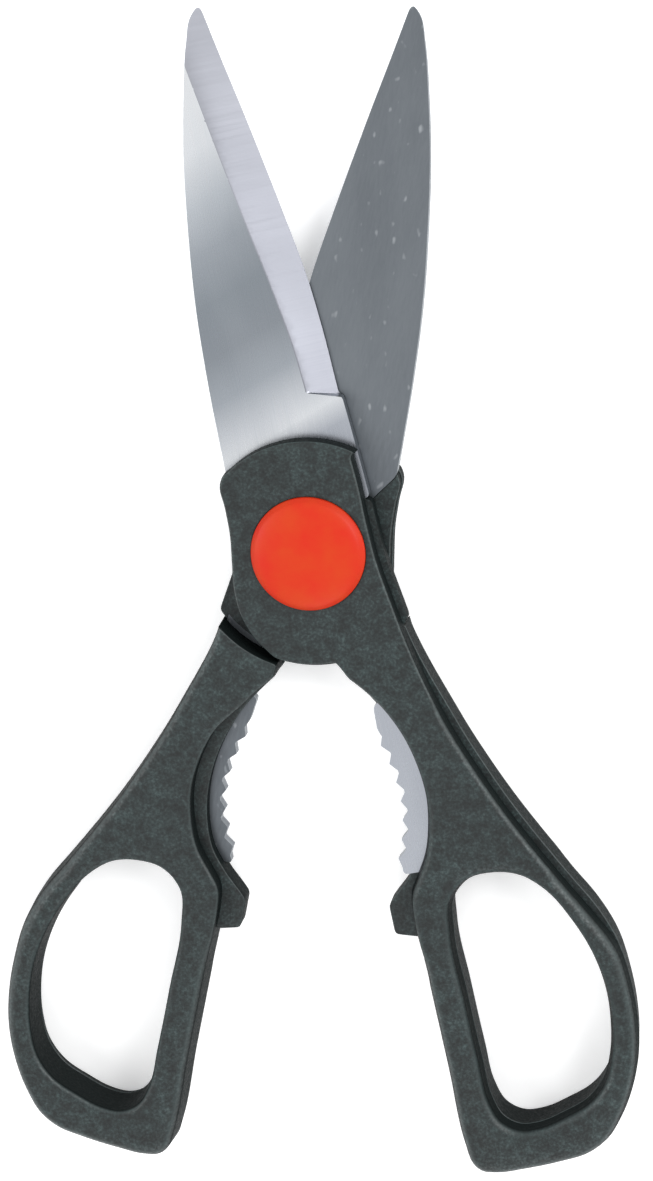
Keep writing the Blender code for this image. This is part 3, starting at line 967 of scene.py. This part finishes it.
@dataclass(frozen=True)
class Blade:
    """A stamped blank, ground along its cutting edge, with the nutcracker's toothed jaw."""

    arm: Arm
    spine: Run = ((0.1, 92.4), (-1.3, 91.0), (-2.8, 87.0), (-4.9, 79.0), (-7.1, 69.0),
                  (-9.0, 57.0), (-10.5, 44.5), (-11.3, 31.0), (-11.6, 14.8))
    neck: Run = ((-8.2, 10.0), (-8.4, 2.0), (-8.0, -6.0), (-5.6, -12.5), (-1.2, -17.6),
                 (2.9, -22.2), (5.3, -25.8), (6.0, -28.2))
    jaw_start: Run = ((4.8, -28.6), (4.6, -33.0))
    jaw: Run = ((5.2, -33.8), (6.2, -37.5), (6.9, -41.5), (7.1, -46.0), (6.5, -50.5),
                (5.3, -54.5), (3.9, -58.0))
    tang_end: Run = ((3.9, -59.0), (7.4, -58.9), (13.0, -57.6), (18.2, -55.2), (20.8, -52.6))
    tang_back: Run = ((20.9, -51.4), (18.9, -44.5), (16.1, -33.6), (13.7, -23.6), (12.1, -14.0),
                      (11.1, -4.0), (10.5, 3.0), (10.3, 6.9))
    ricasso: Run = ((11.7, 7.2), (11.2, 16.0), (10.6, 24.8))
    cutting_edge: Run = ((9.8, 25.0), (9.4, 35.5), (8.6, 45.5), (7.0, 56.0), (5.4, 65.5),
                         (3.8, 74.5), (2.1, 83.5), (0.6, 91.9))
    grind_width: Run = ((24.0, 4.95), (34.0, 5.3), (45.0, 6.05), (57.0, 6.35), (70.0, 6.3),
                        (94.0, 5.6))
    edge_thickness: float = 0.15
    heel: float = 24.9
    heel_slant: float = 0.3
    tip: float = 92.0
    taper_start: float = 40.0
    taper: float = 0.75
    taper_power: float = 1.6
    belly: float = 0.10
    belly_middle: float = -2.0
    belly_half_width: float = 10.0
    bevel_drop: float = 0.02
    bevel_blur: tuple[float, float] = (0.02, 0.30)
    blur_places: tuple[float, float] = (60.0, 84.0)
    tooth_count: int = 7
    tooth_depth: float = 1.1
    jaw_top: float = -29.0
    jaw_bottom: float = -60.0
    spigot_places: Run = ((9.6, -25.2), (15.2, -51.0))
    # Painted reflections on the outer face: bands of painted highlight and dark painted reflection.
    reflection_bands: tuple[tuple[float, str], ...] = ((16.0, "#C8CBD2"), (20.0, "#F6F7F9"),
                                             (23.0, "#E2E4E8"), (29.0, "#B6BBC1"),
                                             (36.0, "#A0A5AB"), (44.0, "#9EA4AA"),
                                             (52.0, "#B2B7BD"), (59.0, "#D0D4D9"),
                                             (67.0, "#FAFBFD"), (89.0, "#FFFFFF"))
    # Painted reflections on the ground bevel: a painted highlight that grows towards the tip.
    bevel_reflection_bands: tuple[tuple[float, str], ...] = ((24.0, "#C8C9CD"), (39.0, "#CFD0D4"),
                                                   (50.0, "#D8D9DD"), (59.0, "#E4E5E9"),
                                                   (76.0, "#F0F1F4"))
    # How far the bands of painted reflection are slanted across the blade, in radians.
    reflection_slant: float = 0.35

    def set_back(self, points: Points) -> Points:
        """Moves points along the jaw deeper into the handle, most at the jaw's middle.

        Args:
            points: the points.

        Returns:
            The moved points.
        """
        moved = np.array(points, float)
        share = (moved[:, 1] - self.jaw_top) / (self.jaw_bottom - self.jaw_top)
        bulge = np.sqrt(np.sin(math.pi * np.clip(share, 0.0, 1.0)))
        moved[:, 0] += self.arm.jaw_depth * bulge
        return moved

    def outline(self) -> Rim:
        """The blank's outline, its jaw a plain curve just in front of the valleys of the teeth.

        Returns:
            The rim, its edges sharp.
        """
        jaw = smooth_run(self.set_back(self.jaw))
        jaw = jaw - left_normals(jaw, closed=False) * 0.12
        above = [smooth_run(self.spine), smooth_run(self.neck), self.set_back(self.jaw_start)]
        below = [smooth_run(run) for run in (self.tang_end, self.tang_back, self.ricasso,
                                             self.cutting_edge)]
        return Rim.joined([(run, 0.0, 0.0) for run in (*above, jaw, *below)])

    def edge_x(self, y: Points) -> Points:
        """The cutting edge's x at given heights along the blade."""
        edge = smooth_run(self.cutting_edge, 1.0)
        return np.interp(y, edge[:, 1], edge[:, 0])

    def grind(self, y: Points) -> Points:
        """Width of the ground bevel at given heights along the blade."""
        widths = smooth_run(self.grind_width, 2.0)
        return np.interp(y, widths[:, 0], widths[:, 1])

    def top(self, points: Points, _: Points) -> Points:
        """Height of the blade's outer face, with its bevel, distal taper and slight belly.

        Args:
            points: places on the face.
            _: their distances to its edge, not needed here.

        Returns:
            The heights.
        """
        x, y = points[:, 0], points[:, 1]
        share = np.clip((y - self.taper_start) / (self.tip - self.taper_start), 0, 1)
        thinning = self.taper * share**self.taper_power
        across = (x - self.belly_middle) / self.belly_half_width
        face = BLADE_HIGH - thinning - self.belly * across**2 * smooth_step(y, 10.0, 30.0)
        edge = BLADE_LOW + self.edge_thickness
        away = self.edge_x(y) - x
        shoulder = BLADE_HIGH - thinning - self.bevel_drop
        bevel = edge + (shoulder - edge) * away / self.grind(y)
        blur = self.bevel_blur[0] + self.bevel_blur[1] * smooth_step(y, *self.blur_places)
        lower = 0.5 * (face + bevel - np.sqrt((face - bevel)**2 + blur**2))
        ground = y > self.heel + self.heel_slant * away
        return np.where(ground, np.maximum(lower, edge - 0.01), face)

    def guides(self) -> Points:
        """Points on either side of the bevel's inner line and of the heel step.

        Returns:
            The points.
        """
        line_gap, line_step, step_gap, step_step = 0.25, 0.5, 0.07, 0.25
        y = np.arange(self.heel + 1.7, 90.0, line_step)
        inner = self.edge_x(y) - self.grind(y)
        rows = [np.column_stack((inner + side, y)) for side in (-line_gap, 0.0, line_gap)]
        across = np.arange(-0.3, 6.5, step_step)
        x = self.edge_x(np.array([self.heel]))[0] - across
        for side in (-step_gap, step_gap):
            rows.append(np.column_stack((x, self.heel + self.heel_slant * across + side)))
        return np.vstack(rows)

    def teeth(self, finish: bpy.types.Material) -> bpy.types.Object:
        """Makes the jaw's teeth with Geometry Nodes: one wedge per tooth along the jaw's curve.

        Args:
            finish: the steel's material.

        Returns:
            The teeth, as a plain mesh.
        """
        guide = smooth_run(self.set_back(self.jaw))
        curve = bpy.data.curves.new("jaw_guide", "CURVE")
        spline = curve.splines.new("POLY")
        spline.points.add(len(guide) - 1)
        for point, place in zip(spline.points, guide.tolist()):
            point.co = (*place, 0.0, 1.0)
        item = linked("jaw_guide", curve)
        tree = ToothTree().build()
        modifier = item.modifiers.new("teeth", "NODES")
        modifier.node_group = tree
        values = {"Tooth count": self.tooth_count, "Tooth depth": self.tooth_depth,
                  "Low": BLADE_LOW, "High": BLADE_HIGH, "Material": finish}
        for socket in tree.interface.items_tree:
            if socket.name in values:
                modifier[socket.identifier] = values[socket.name]
        mesh = evaluated_mesh(item)
        bpy.data.objects.remove(item)
        return linked("jaw_teeth", mesh)

    def build(self) -> bpy.types.Object:
        """Builds the blade and ties it to its arm.

        Returns:
            The blade.
        """
        body = Relief("blade", [self.outline()], BLADE_LOW, self.top, seam=0.05,
                      extra=self.guides()).build()
        finishes = self.finishes()
        combine(body, self.teeth(finishes[0]), "UNION")
        past = 1.0
        combine(body, rod("pivot_drill", PIVOT_HOLE_RADIUS, BLADE_LOW - past, BLADE_HIGH + past),
                "DIFFERENCE")
        for place in self.spigot_places:
            combine(body, rod("spigot_drill", SPIGOT_HOLE_RADIUS, BLADE_LOW - past,
                              BLADE_HIGH + past, place), "DIFFERENCE")
        self.sort_faces(body.data)
        name = self.arm.side + "_blade"
        return placed(body, name + "_steel", self.arm, finishes, [name])

    def sort_faces(self, mesh: bpy.types.Mesh) -> None:
        """Numbers the faces by finish: 0 outer face, 1 sliding face and walls, 2 ground bevel. The
        walls' darker steel is partly painted shade: it gives the dark line under the heel step.

        Args:
            mesh: the blade's mesh.
        """
        centres = np.array([face.center[:] for face in mesh.polygons])
        upward = np.array([face.normal.z for face in mesh.polygons])
        x, y = centres[:, 0], centres[:, 1]
        away = self.edge_x(y) - x
        ground = (y > self.heel + self.heel_slant * away) & (away < self.grind(y)) & (upward > 0.5)
        # Walls take the darker sliding-face steel, which paints shade along the heel step.
        numbers = np.where(ground, 2, np.where(upward > 0.5, 0, 1))
        mesh.polygons.foreach_set("material_index", numbers.astype(np.int32))

    def finishes(self) -> list[bpy.types.Material]:
        """The steel's three finishes, turned with the arm.

        Returns:
            The materials of the outer face, the sliding face and the ground bevel.
        """
        side = self.arm.side
        turn = self.arm.opening
        return [BrushedSteel(side + "_polished_steel", "#F8F9FA", "#E6E8EA", 0.28, turn=turn,
                             bands=self.reflection_bands, band_turn=turn + self.reflection_slant).build(),
                BrushedSteel(side + "_inner_steel", "#7C8186", "#6E7378", 0.40, line_mm=0.6,
                             run_mm=3.0, relief=0.2, turn=turn, specks="#A9ADB1").build(),
                BrushedSteel(side + "_ground_steel", "#BABBC1", "#B3B4BA", 0.34,
                             turn=turn + math.pi / 2, bands=self.bevel_reflection_bands,
                             band_turn=turn).build()]


@dataclass(frozen=True)
class ToothTree:
    """The Geometry Nodes tree that sets teeth along a curve."""

    name: str = "teeth_along_curve"

    def build(self) -> bpy.types.NodeTree:
        """Builds the tree: equal wedges, each as wide as its share of the curve.

        Returns:
            The tree.
        """
        tree = bpy.data.node_groups.new(self.name, "GeometryNodeTree")
        sockets = {"Geometry": "Geometry", "Tooth count": "Int", "Tooth depth": "Float",
                   "Low": "Float", "High": "Float", "Material": "Material"}
        for name, kind in sockets.items():
            tree.interface.new_socket(name, in_out="INPUT", socket_type="NodeSocket" + kind)
        tree.interface.new_socket("Geometry", in_out="OUTPUT",
                                  socket_type="NodeSocketGeometry")
        sums = "ShaderNodeMath"
        given = add_node(tree, "NodeGroupInput").node.outputs
        length = add_node(tree, "GeometryNodeCurveLength", {0: given["Geometry"]})
        pitch = add_node(tree, sums, {0: length, 1: given["Tooth count"]}, operation="DIVIDE")
        half = add_node(tree, sums, {0: pitch, 1: 0.5}, operation="MULTIPLY")
        rest = add_node(tree, sums, {0: length, 1: half}, operation="SUBTRACT")
        trimmed = add_node(tree, "GeometryNodeTrimCurve", {"Curve": given["Geometry"]},
                           mode="LENGTH")
        start, end = [s for s in trimmed.node.inputs if s.name in ("Start", "End")][-2:]
        tree.links.new(half, start)
        tree.links.new(rest, end)
        spaced = add_node(tree, "GeometryNodeResampleCurve",
                          {"Curve": trimmed, "Count": given["Tooth count"]})
        tangent = add_node(tree, "GeometryNodeInputTangent")
        turn = add_node(tree, "FunctionNodeAlignRotationToVector", {"Vector": tangent},
                        axis="Y", pivot_axis="Z")
        depth = add_node(tree, sums, {0: given["High"], 1: given["Low"]}, operation="SUBTRACT")
        both = add_node(tree, sums, {0: given["High"], 1: given["Low"]}, operation="ADD")
        middle = add_node(tree, sums, {0: both, 1: 0.5}, operation="MULTIPLY")
        wedge = add_node(tree, "GeometryNodeMeshCylinder",
                         {"Vertices": 4, "Radius": 1.0, "Depth": depth}, wanted="Mesh")
        size = add_node(tree, "ShaderNodeCombineXYZ",
                        {0: given["Tooth depth"], 1: half, 2: 1.0})
        teeth = add_node(tree, "GeometryNodeInstanceOnPoints",
                         {"Points": spaced, "Instance": wedge, "Rotation": turn, "Scale": size})
        lift = add_node(tree, "ShaderNodeCombineXYZ", {2: middle})
        raised = add_node(tree, "GeometryNodeTransform",
                          {"Geometry": teeth, "Translation": lift})
        plain = add_node(tree, "GeometryNodeRealizeInstances", {"Geometry": raised})
        dressed = add_node(tree, "GeometryNodeSetMaterial",
                           {"Geometry": plain, "Material": given["Material"]})
        add_node(tree, "NodeGroupOutput", {"Geometry": dressed})
        return tree


# ---------------------------------------------------------------------------------------------
# The handles


@dataclass(frozen=True)
class HandleShape:
    """The outlines that both shells of a handle share."""

    arm: Arm
    blade: Blade
    boss_top_radius: float = 19.3
    boss_foot_radius: float = 19.4
    shoulder_radius: float = 20.2
    root: tuple[float, float] = (0.6, -20.0)
    ledge: float = 1.1
    ledge_end: float = -80.0
    ledge_fade: float = 12.0
    boss_right: Run = ((11.7, 15.3), (12.0, 10.0), (12.0, 4.0))
    outer_side: Run = ((12.0, 4.0), (12.3, -3.0), (13.3, -10.5), (14.8, -19.5), (16.5, -27.0),
                       (18.4, -33.5), (21.4, -41.5), (25.1, -50.0), (28.3, -56.4), (32.4, -64.0),
                       (35.7, -70.0), (37.9, -76.0), (38.8, -83.5), (38.8, -89.5), (37.9, -96.0),
                       (35.7, -102.4), (32.5, -108.0), (29.2, -111.8), (25.8, -113.6),
                       (21.0, -114.4), (14.4, -114.9), (9.2, -114.9), (6.4, -114.1),
                       (5.0, -112.2), (4.6, -109.3), (4.5, -95.0), (4.3, -77.0))
    inner_face: Run = ((4.1, -70.5), (4.1, -66.0), (4.7, -62.0), (6.1, -59.6), (8.3, -55.8),
                       (9.9, -50.6), (10.6, -45.0), (10.2, -39.8), (8.9, -34.3), (6.5, -29.0),
                       (4.2, -25.6), (1.9, -22.9))
    inner_core: Run = ((4.2, -60.2), (6.9, -56.4), (8.7, -51.2), (9.4, -45.2), (9.0, -39.6),
                       (7.8, -34.4), (6.1, -29.6), (4.0, -25.9), (1.9, -22.9))
    stop: Run = ((4.1, -70.5), (0.15, -69.4), (0.15, -64.0), (1.7, -62.5))
    shoulder_corner: tuple[float, float] = (1.7, -20.2)
    boss_spine_side: Run = ((-11.4, 16.0), (-12.45, 14.4), (-12.5, 10.0), (-12.7, 5.0),
                            (-13.3, 1.0), (-14.0, -4.0), (-13.7, -9.0), (-12.1, -13.3),
                            (-10.1, -16.2))
    loop: Run = ((10.5, -82.0), (10.5, -70.0), (11.8, -64.0), (15.2, -61.2), (19.4, -60.8),
                 (23.7, -61.9), (27.3, -65.0), (30.8, -71.0), (33.2, -77.5), (34.3, -84.5),
                 (34.0, -90.3), (32.8, -96.0), (30.7, -100.6), (27.6, -103.6), (22.9, -105.6),
                 (18.2, -106.9), (15.0, -106.8), (12.3, -104.9), (11.0, -101.2), (10.7, -94.0))

    def finger_loop(self, rounding: float, draft: float) -> Rim:
        """The finger loop's rim."""
        return Rim.joined([(smooth_run(self.loop, closed=True), rounding, draft)])

    def jaw_side(self, run: Run, share: float = 1.0) -> Points:
        """A run along the jaw, set back with it or by a share of that, walking up to the boss."""
        places = np.array(run)
        return smooth_run(places + (self.blade.set_back(places) - places) * share)

    def beyond(self, points: Points, radius: float) -> Points:
        """The part of a run that lies outside a circle about the pivot, from the circle on.

        Args:
            points: the run, which starts inside.
            radius: the circle's radius.

        Returns:
            The part, starting on the circle.
        """
        reach = np.linalg.norm(points, axis=1)
        first = int(np.argmax(reach > radius))
        share = (radius - reach[first - 1]) / (reach[first] - reach[first - 1])
        crossing = points[first - 1] + (points[first] - points[first - 1]) * share
        return np.vstack([crossing, points[first:]])

    def steel_pocket(self, low: float, high: float) -> bpy.types.Object:
        """The room that the blank takes, with a hair's gap all round.

        Args:
            low: height of its floor.
            high: height of its ceiling.

        Returns:
            The solid.
        """
        rim = self.blade.outline()
        grown = Rim(rim.points - left_normals(rim.points) * GAP, rim.rounding, rim.draft)
        return plate("pocket", grown, low, high)


@dataclass(frozen=True)
class HandleCover:
    """The boss side of a handle: boss with the cap's recess, shank and finger loop."""

    shape: HandleShape
    finish: bpy.types.Material
    collar_inset: float = 0.25
    crown: float = 0.22
    skirt_radius: float = 18.9
    skirt_high: float = 1.2
    skirt_side: Run = ((-12.4, 1.6), (-13.4, -0.2), (-15.2, -4.2), (-16.9, -7.9))
    skirt_back: Run = ((-9.2, -14.2), (-11.4, -8.0), (-11.6, -1.0))

    def face_rim(self) -> Rim:
        """The cover's outline, with the ledge left free along its outer side.

        Returns:
            The rim.
        """
        shape = self.shape
        boss_right = smooth_run(shape.boss_right)[:-1]
        side = np.vstack([boss_right, smooth_run(shape.outer_side)])
        fade = 1 - smooth_step(-side[:, 1], -shape.ledge_end - shape.ledge_fade,
                               -shape.ledge_end)
        ledge = shape.ledge * np.where(side[:, 0] > 0, fade, 0.0)
        side = side - left_normals(side, closed=False) * ledge[:, None]
        up = side[::-1]
        y = up[:, 1]
        loop, shank, boss = (up[y <= LOOP_TOP], up[(y <= BOSS_END) & (y > LOOP_TOP)],
                             up[y > BOSS_END])
        top = arc(shape.boss_top_radius, polar(shape.boss_right[0]),
                  polar(shape.boss_spine_side[0]))
        foot = arc(shape.boss_foot_radius, polar(shape.boss_spine_side[-1]) + 362,
                   polar(shape.root) + 360)
        inner = shape.jaw_side(shape.inner_face)[::-1]
        return Rim.joined([(top, 0.35, 0.05), (smooth_run(shape.boss_spine_side), 0.45, 0.1),
                           (foot, 0.35, 0.1), (inner, 1.2, 0.3), (loop, 1.9, 0.3),
                           (shank, 1.1, 0.25), (boss, 0.55, 0.15)])

    def collar_rim(self) -> Rim:
        """The collar round the blank at blade level, out to the boss's own edges.

        Returns:
            The rim.
        """
        shape = self.shape
        reach = shape.shoulder_radius - 0.12
        side = np.vstack([smooth_run(shape.boss_right)[:-1], smooth_run(shape.outer_side)])
        near = side[:int(np.argmax(np.linalg.norm(side, axis=1) > reach))]
        near = near[near[:, 1] < 7.0]
        spine = smooth_run(shape.boss_spine_side)
        spine = spine + left_normals(spine, closed=False) * self.collar_inset
        foot = arc(reach, polar(spine[-1]) + 360, polar(near[-1]) + 360)
        return Rim.joined([(spine, 0.0, 0.0), (foot, 0.0, 0.0), (near[::-1], 0.0, 0.0)])

    def build(self) -> bpy.types.Object:
        """Builds the cover and ties it to its arm.

        Returns:
            The cover.
        """
        shape = self.shape
        body = Relief("cover", [self.face_rim(), shape.finger_loop(1.5, 0.35)], COVER_LOW,
                      partial(crowned, crown=self.crown)).build()
        overlap = 0.4
        collar = plate("collar", self.collar_rim(), BLADE_LOW, COVER_LOW + overlap, 0.1)
        combine(collar, shape.steel_pocket(BLADE_LOW - overlap, BLADE_HIGH + GAP), "DIFFERENCE")
        combine(body, collar, "UNION")
        side, back = np.array(self.skirt_side), np.array(self.skirt_back)
        turn = arc(self.skirt_radius, polar(side[-1]) + 360, polar(shape.boss_spine_side[-1]) + 362)
        skirt = Rim.joined([(side, 0.0, 0.0), (turn, 0.0, 0.0), (back, 0.0, 0.0)])
        combine(body, plate("skirt", skirt, BLADE_LOW, self.skirt_high, 0.1), "UNION")
        for place in shape.blade.spigot_places:
            combine(body, rod("spigot", SPIGOT_RADIUS, -GRIP_TOP, COVER_LOW + overlap, place),
                    "UNION")
        lip = 0.05
        wide = RECESS_RADIUS + lip
        profile = ((0, HALF_THICKNESS + 1), (wide, HALF_THICKNESS + 1), (wide, HALF_THICKNESS),
                   (RECESS_RADIUS, HALF_THICKNESS - lip), (RECESS_RADIUS, RECESS_FLOOR),
                   (BOSS_HOLE_RADIUS, RECESS_FLOOR), (BOSS_HOLE_RADIUS, -1.0), (0, -1.0))
        combine(body, turned("recess", profile, FINE_SIDES), "DIFFERENCE")
        name = shape.arm.side + "_handle_cover"
        return placed(body, name + "_shell", shape.arm, [self.finish], [name])


@dataclass(frozen=True)
class HandleGrip:
    """The other side of a handle: a thick shell with the jaw's ledge and the closing stop."""

    shape: HandleShape
    finish: bpy.types.Material
    stop_half_height: float = 2.3
    draft: float = 0.35
    crown: float = 0.3
    shoulder_easing: float = 1.0
    backing: Run = ((7.6, -70.5), (7.8, -63.0), (11.5, -58.5), (14.5, -50.0), (14.5, -42.0),
                    (11.5, -32.0), (6.5, -24.0))

    def ring(self, inner: Points) -> Rim:
        """The grip's outline, from the shoulder down its given inner side and round the loop.

        Args:
            inner: the inner side, from the shoulder down.

        Returns:
            The rim.
        """
        shape = self.shape
        outer = smooth_run(shape.outer_side)
        easing = self.shoulder_easing * (1 - smooth_step(-outer[:, 1], 15.0, 34.0))
        outer = outer - left_normals(outer, closed=False) * easing[:, None]
        outer = shape.beyond(outer, shape.shoulder_radius)
        shank = outer[outer[:, 1] > LOOP_TOP][::-1]
        loop = outer[outer[:, 1] <= LOOP_TOP][::-1]
        foot = arc(shape.shoulder_radius, polar(outer[0]), polar(shape.shoulder_corner))
        draft = self.draft
        return Rim.joined([(foot, 0.35, draft * 0.3), (inner, 0.7, draft * 0.5),
                           (loop, 2.0, draft), (shank, 1.3, draft)])

    def build(self) -> bpy.types.Object:
        """Builds the grip and ties it to its arm.

        Returns:
            The grip.
        """
        shape = self.shape
        face_side = shape.jaw_side(shape.inner_face, 1.4)[::-1]
        rims = [self.ring(face_side), shape.finger_loop(0.9, 0.3)]
        body = mirrored(Relief("grip", rims, -GRIP_TOP,
                               partial(crowned, crown=self.crown)).build())
        combine(body, self.core(), "UNION")
        combine(body, shape.steel_pocket(BLADE_LOW - GAP, BLADE_HIGH + 1), "DIFFERENCE")
        for place in shape.blade.spigot_places:
            combine(body, rod("socket", SOCKET_RADIUS, SOCKET_FLOOR, 1.0, place), "DIFFERENCE")
        name = shape.arm.side + "_handle_grip"
        return placed(body, name + "_shell", shape.arm, [self.finish], [name])

    def core(self) -> bpy.types.Object:
        """The ledge along the jaw and the closing stop, at mid level.

        Returns:
            The solid.
        """
        shape = self.shape
        ledge = shape.jaw_side(shape.inner_core, 0.5)[::-1]
        rim = Rim.joined([(ledge, 0.25, 0.0), (np.array(shape.stop)[::-1], 0.25, 0.0),
                          (np.array(self.backing), 0.0, 0.0)])
        return mirrored(plate("core", rim, -GRIP_TOP, self.stop_half_height, 0.15))


# ---------------------------------------------------------------------------------------------
# The pivot


@dataclass(frozen=True)
class PivotCaps:
    """The domed cap over the screw's head, and the flat one over the nut."""

    finish: bpy.types.Material
    radius: float = 9.74
    low: float = 4.4
    cavity_radius: float = 5.3
    cavity_high: float = 5.2
    rim_height: float = 0.35
    crown: float = 1.85
    fillet: float = 0.45
    flat_drop: float = 0.12
    flat_edge: float = 0.3

    def build(self) -> list[bpy.types.Object]:
        """Builds both caps and ties them to their arms.

        Returns:
            The domed cap and the flat one.
        """
        rim, fillet = HALF_THICKNESS + self.rim_height, self.fillet
        dome = [((self.radius - fillet) * math.sin(a), rim + fillet + (self.crown - fillet)
                 * math.cos(a)) for a in np.radians(np.linspace(0, 78, 20))]
        edge = [(self.radius - fillet + fillet * math.sin(a), rim - 0.1 + fillet * math.cos(a))
                for a in np.radians(np.linspace(35, 90, 6))]
        under = [(self.radius, self.low), (self.cavity_radius, self.low),
                 (self.cavity_radius, self.cavity_high), (0, self.cavity_high)]
        domed = turned("domed_cap", dome + edge + under, FINE_SIDES)
        dish, round_edge = HALF_THICKNESS - self.flat_drop, self.flat_edge
        flat = [(0, dish), (self.radius - 2.2, dish),
                (self.radius - 1.6, HALF_THICKNESS - 0.02)]
        flat += [(self.radius - round_edge + round_edge * math.sin(a),
                  HALF_THICKNESS - round_edge + round_edge * math.cos(a))
                 for a in np.radians(np.linspace(0, 90, 6))]
        plain = turned("flat_cap", flat + under, FINE_SIDES)
        return [placed(domed, "front_cap_dome", Arm.FRONT, [self.finish], ["front_cap"]),
                placed(plain, "rear_cap_disc", Arm.REAR, [self.finish], ["rear_cap"])]


@dataclass(frozen=True)
class PivotHardware:
    """Screw, washers and nut, which keep their CAD shape and get a plated finish."""

    names: tuple[str, ...] = ("pivot_screw", "flat_washer", "spring_washer", "pivot_nut")

    def dress(self) -> None:
        """Gives each piece zinc-plated steel."""
        finish = BrushedSteel("zinc_plated_steel", "#C9CBC6", "#B4B6B2", 0.28, line_mm=0.4,
                              run_mm=0.4, relief=0.15).build()
        for name in self.names:
            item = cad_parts[name]
            item.data.materials.clear()
            item.data.materials.append(finish)
            LOG.info("%s: dressed", name)


# ---------------------------------------------------------------------------------------------
# The studio


@dataclass(frozen=True)
class SoftBox:
    """One soft light, aimed at the shears."""

    name: str
    place: tuple[float, float, float]
    size: float
    power: float
    aim: tuple[float, float, float] = (0.0, -0.01, 0.006)

    def build(self) -> None:
        """Hangs the light; sizes and places are metres."""
        light = bpy.data.lights.new(self.name, "AREA")
        light.size = self.size
        light.energy = self.power
        item = linked(self.name, light)
        item.location = self.place
        item.rotation_euler = (Vector(self.place) - Vector(self.aim)).to_track_quat(
            "Z", "Y").to_euler()
        item.visible_camera = False


@dataclass(frozen=True)
class Studio:
    """Floor, lights and camera."""

    yaw: float = 9.355
    pitch: float = 13.15
    roll: float = -0.914
    distance: float = 0.55716
    half_view: float = 0.17963
    floor_half: float = 4.0
    floor_drop: float = 0.0002
    air_colour: str = "#F6F7F8"
    air_strength: float = 0.85
    shift: tuple[float, float] = (0.01103, -0.0376)
    lights: tuple[SoftBox, ...] = (
        SoftBox("right_light", (0.78, 0.42, 0.76), 0.6, 10.0),
        SoftBox("left_light", (-0.85, 0.05, 0.70), 0.6, 5.5),
        SoftBox("back_light", (0.05, -0.95, 0.75), 0.6, 3.5),
    )

    def floor(self) -> None:
        """Lays the pale floor under the shears."""
        half, drop = self.floor_half, -self.floor_drop
        corners = np.array([(-half, -half, drop), (half, -half, drop), (half, half, drop),
                            (-half, half, drop)])
        item = new_object("studio_floor", corners, [(0, 1, 2, 3)])
        item.data.materials.append(StudioTable("studio_acrylic").build())

    def sky(self) -> None:
        """Fills the room with soft light."""
        world = bpy.data.worlds.new("studio_air")
        bpy.context.scene.world = world
        world.use_nodes = True
        background = world.node_tree.nodes["Background"]
        background.inputs["Color"].default_value = linear(self.air_colour)
        background.inputs["Strength"].default_value = self.air_strength

    def camera(self) -> None:
        """Sets the camera up over the pivot, tilted and rolled a little."""
        yaw, pitch, roll = (math.radians(angle) for angle in (self.yaw, self.pitch, self.roll))
        back = Vector((math.sin(yaw) * math.cos(pitch), math.sin(pitch),
                       math.cos(yaw) * math.cos(pitch)))
        right = Vector((0, 1, 0)).cross(back).normalized()
        up = back.cross(right)
        level = math.cos(roll) * right + math.sin(roll) * up
        upright = math.cos(roll) * up - math.sin(roll) * right
        data = bpy.data.cameras.new("camera")
        data.sensor_width = 36.0
        data.lens = data.sensor_width / 2 / self.half_view
        data.shift_x, data.shift_y = self.shift
        data.clip_start = 0.01
        data.clip_end = 20.0
        item = linked("camera", data)
        turn = Matrix((level, upright, back)).transposed().to_4x4()
        pivot = Vector((0, 0, HALF_THICKNESS * MM))
        item.matrix_world = Matrix.Translation(pivot + back * self.distance) @ turn
        bpy.context.scene.camera = item

    def build(self) -> None:
        """Sets the studio up."""
        self.floor()
        self.sky()
        self.camera()
        for light in self.lights:
            light.build()
        bpy.context.scene.view_settings.view_transform = "Standard"
        bpy.context.scene.view_settings.look = "None"


def main() -> None:
    """Builds the shears' looks and the studio around them."""
    logging.basicConfig(level=logging.INFO, format="%(name)s: %(message)s")
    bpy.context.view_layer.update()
    Studio().build()
    plastic = GrainedPlastic("grained_abs").build()
    red = SatinPlastic("satin_polypropylene").build()
    for arm in Arm:
        blade = Blade(arm)
        shape = HandleShape(arm, blade)
        blade.build()
        HandleCover(shape, plastic).build()
        HandleGrip(shape, plastic).build()
    PivotCaps(red).build()
    PivotHardware().dress()


if __name__ == "__main__":
    main()
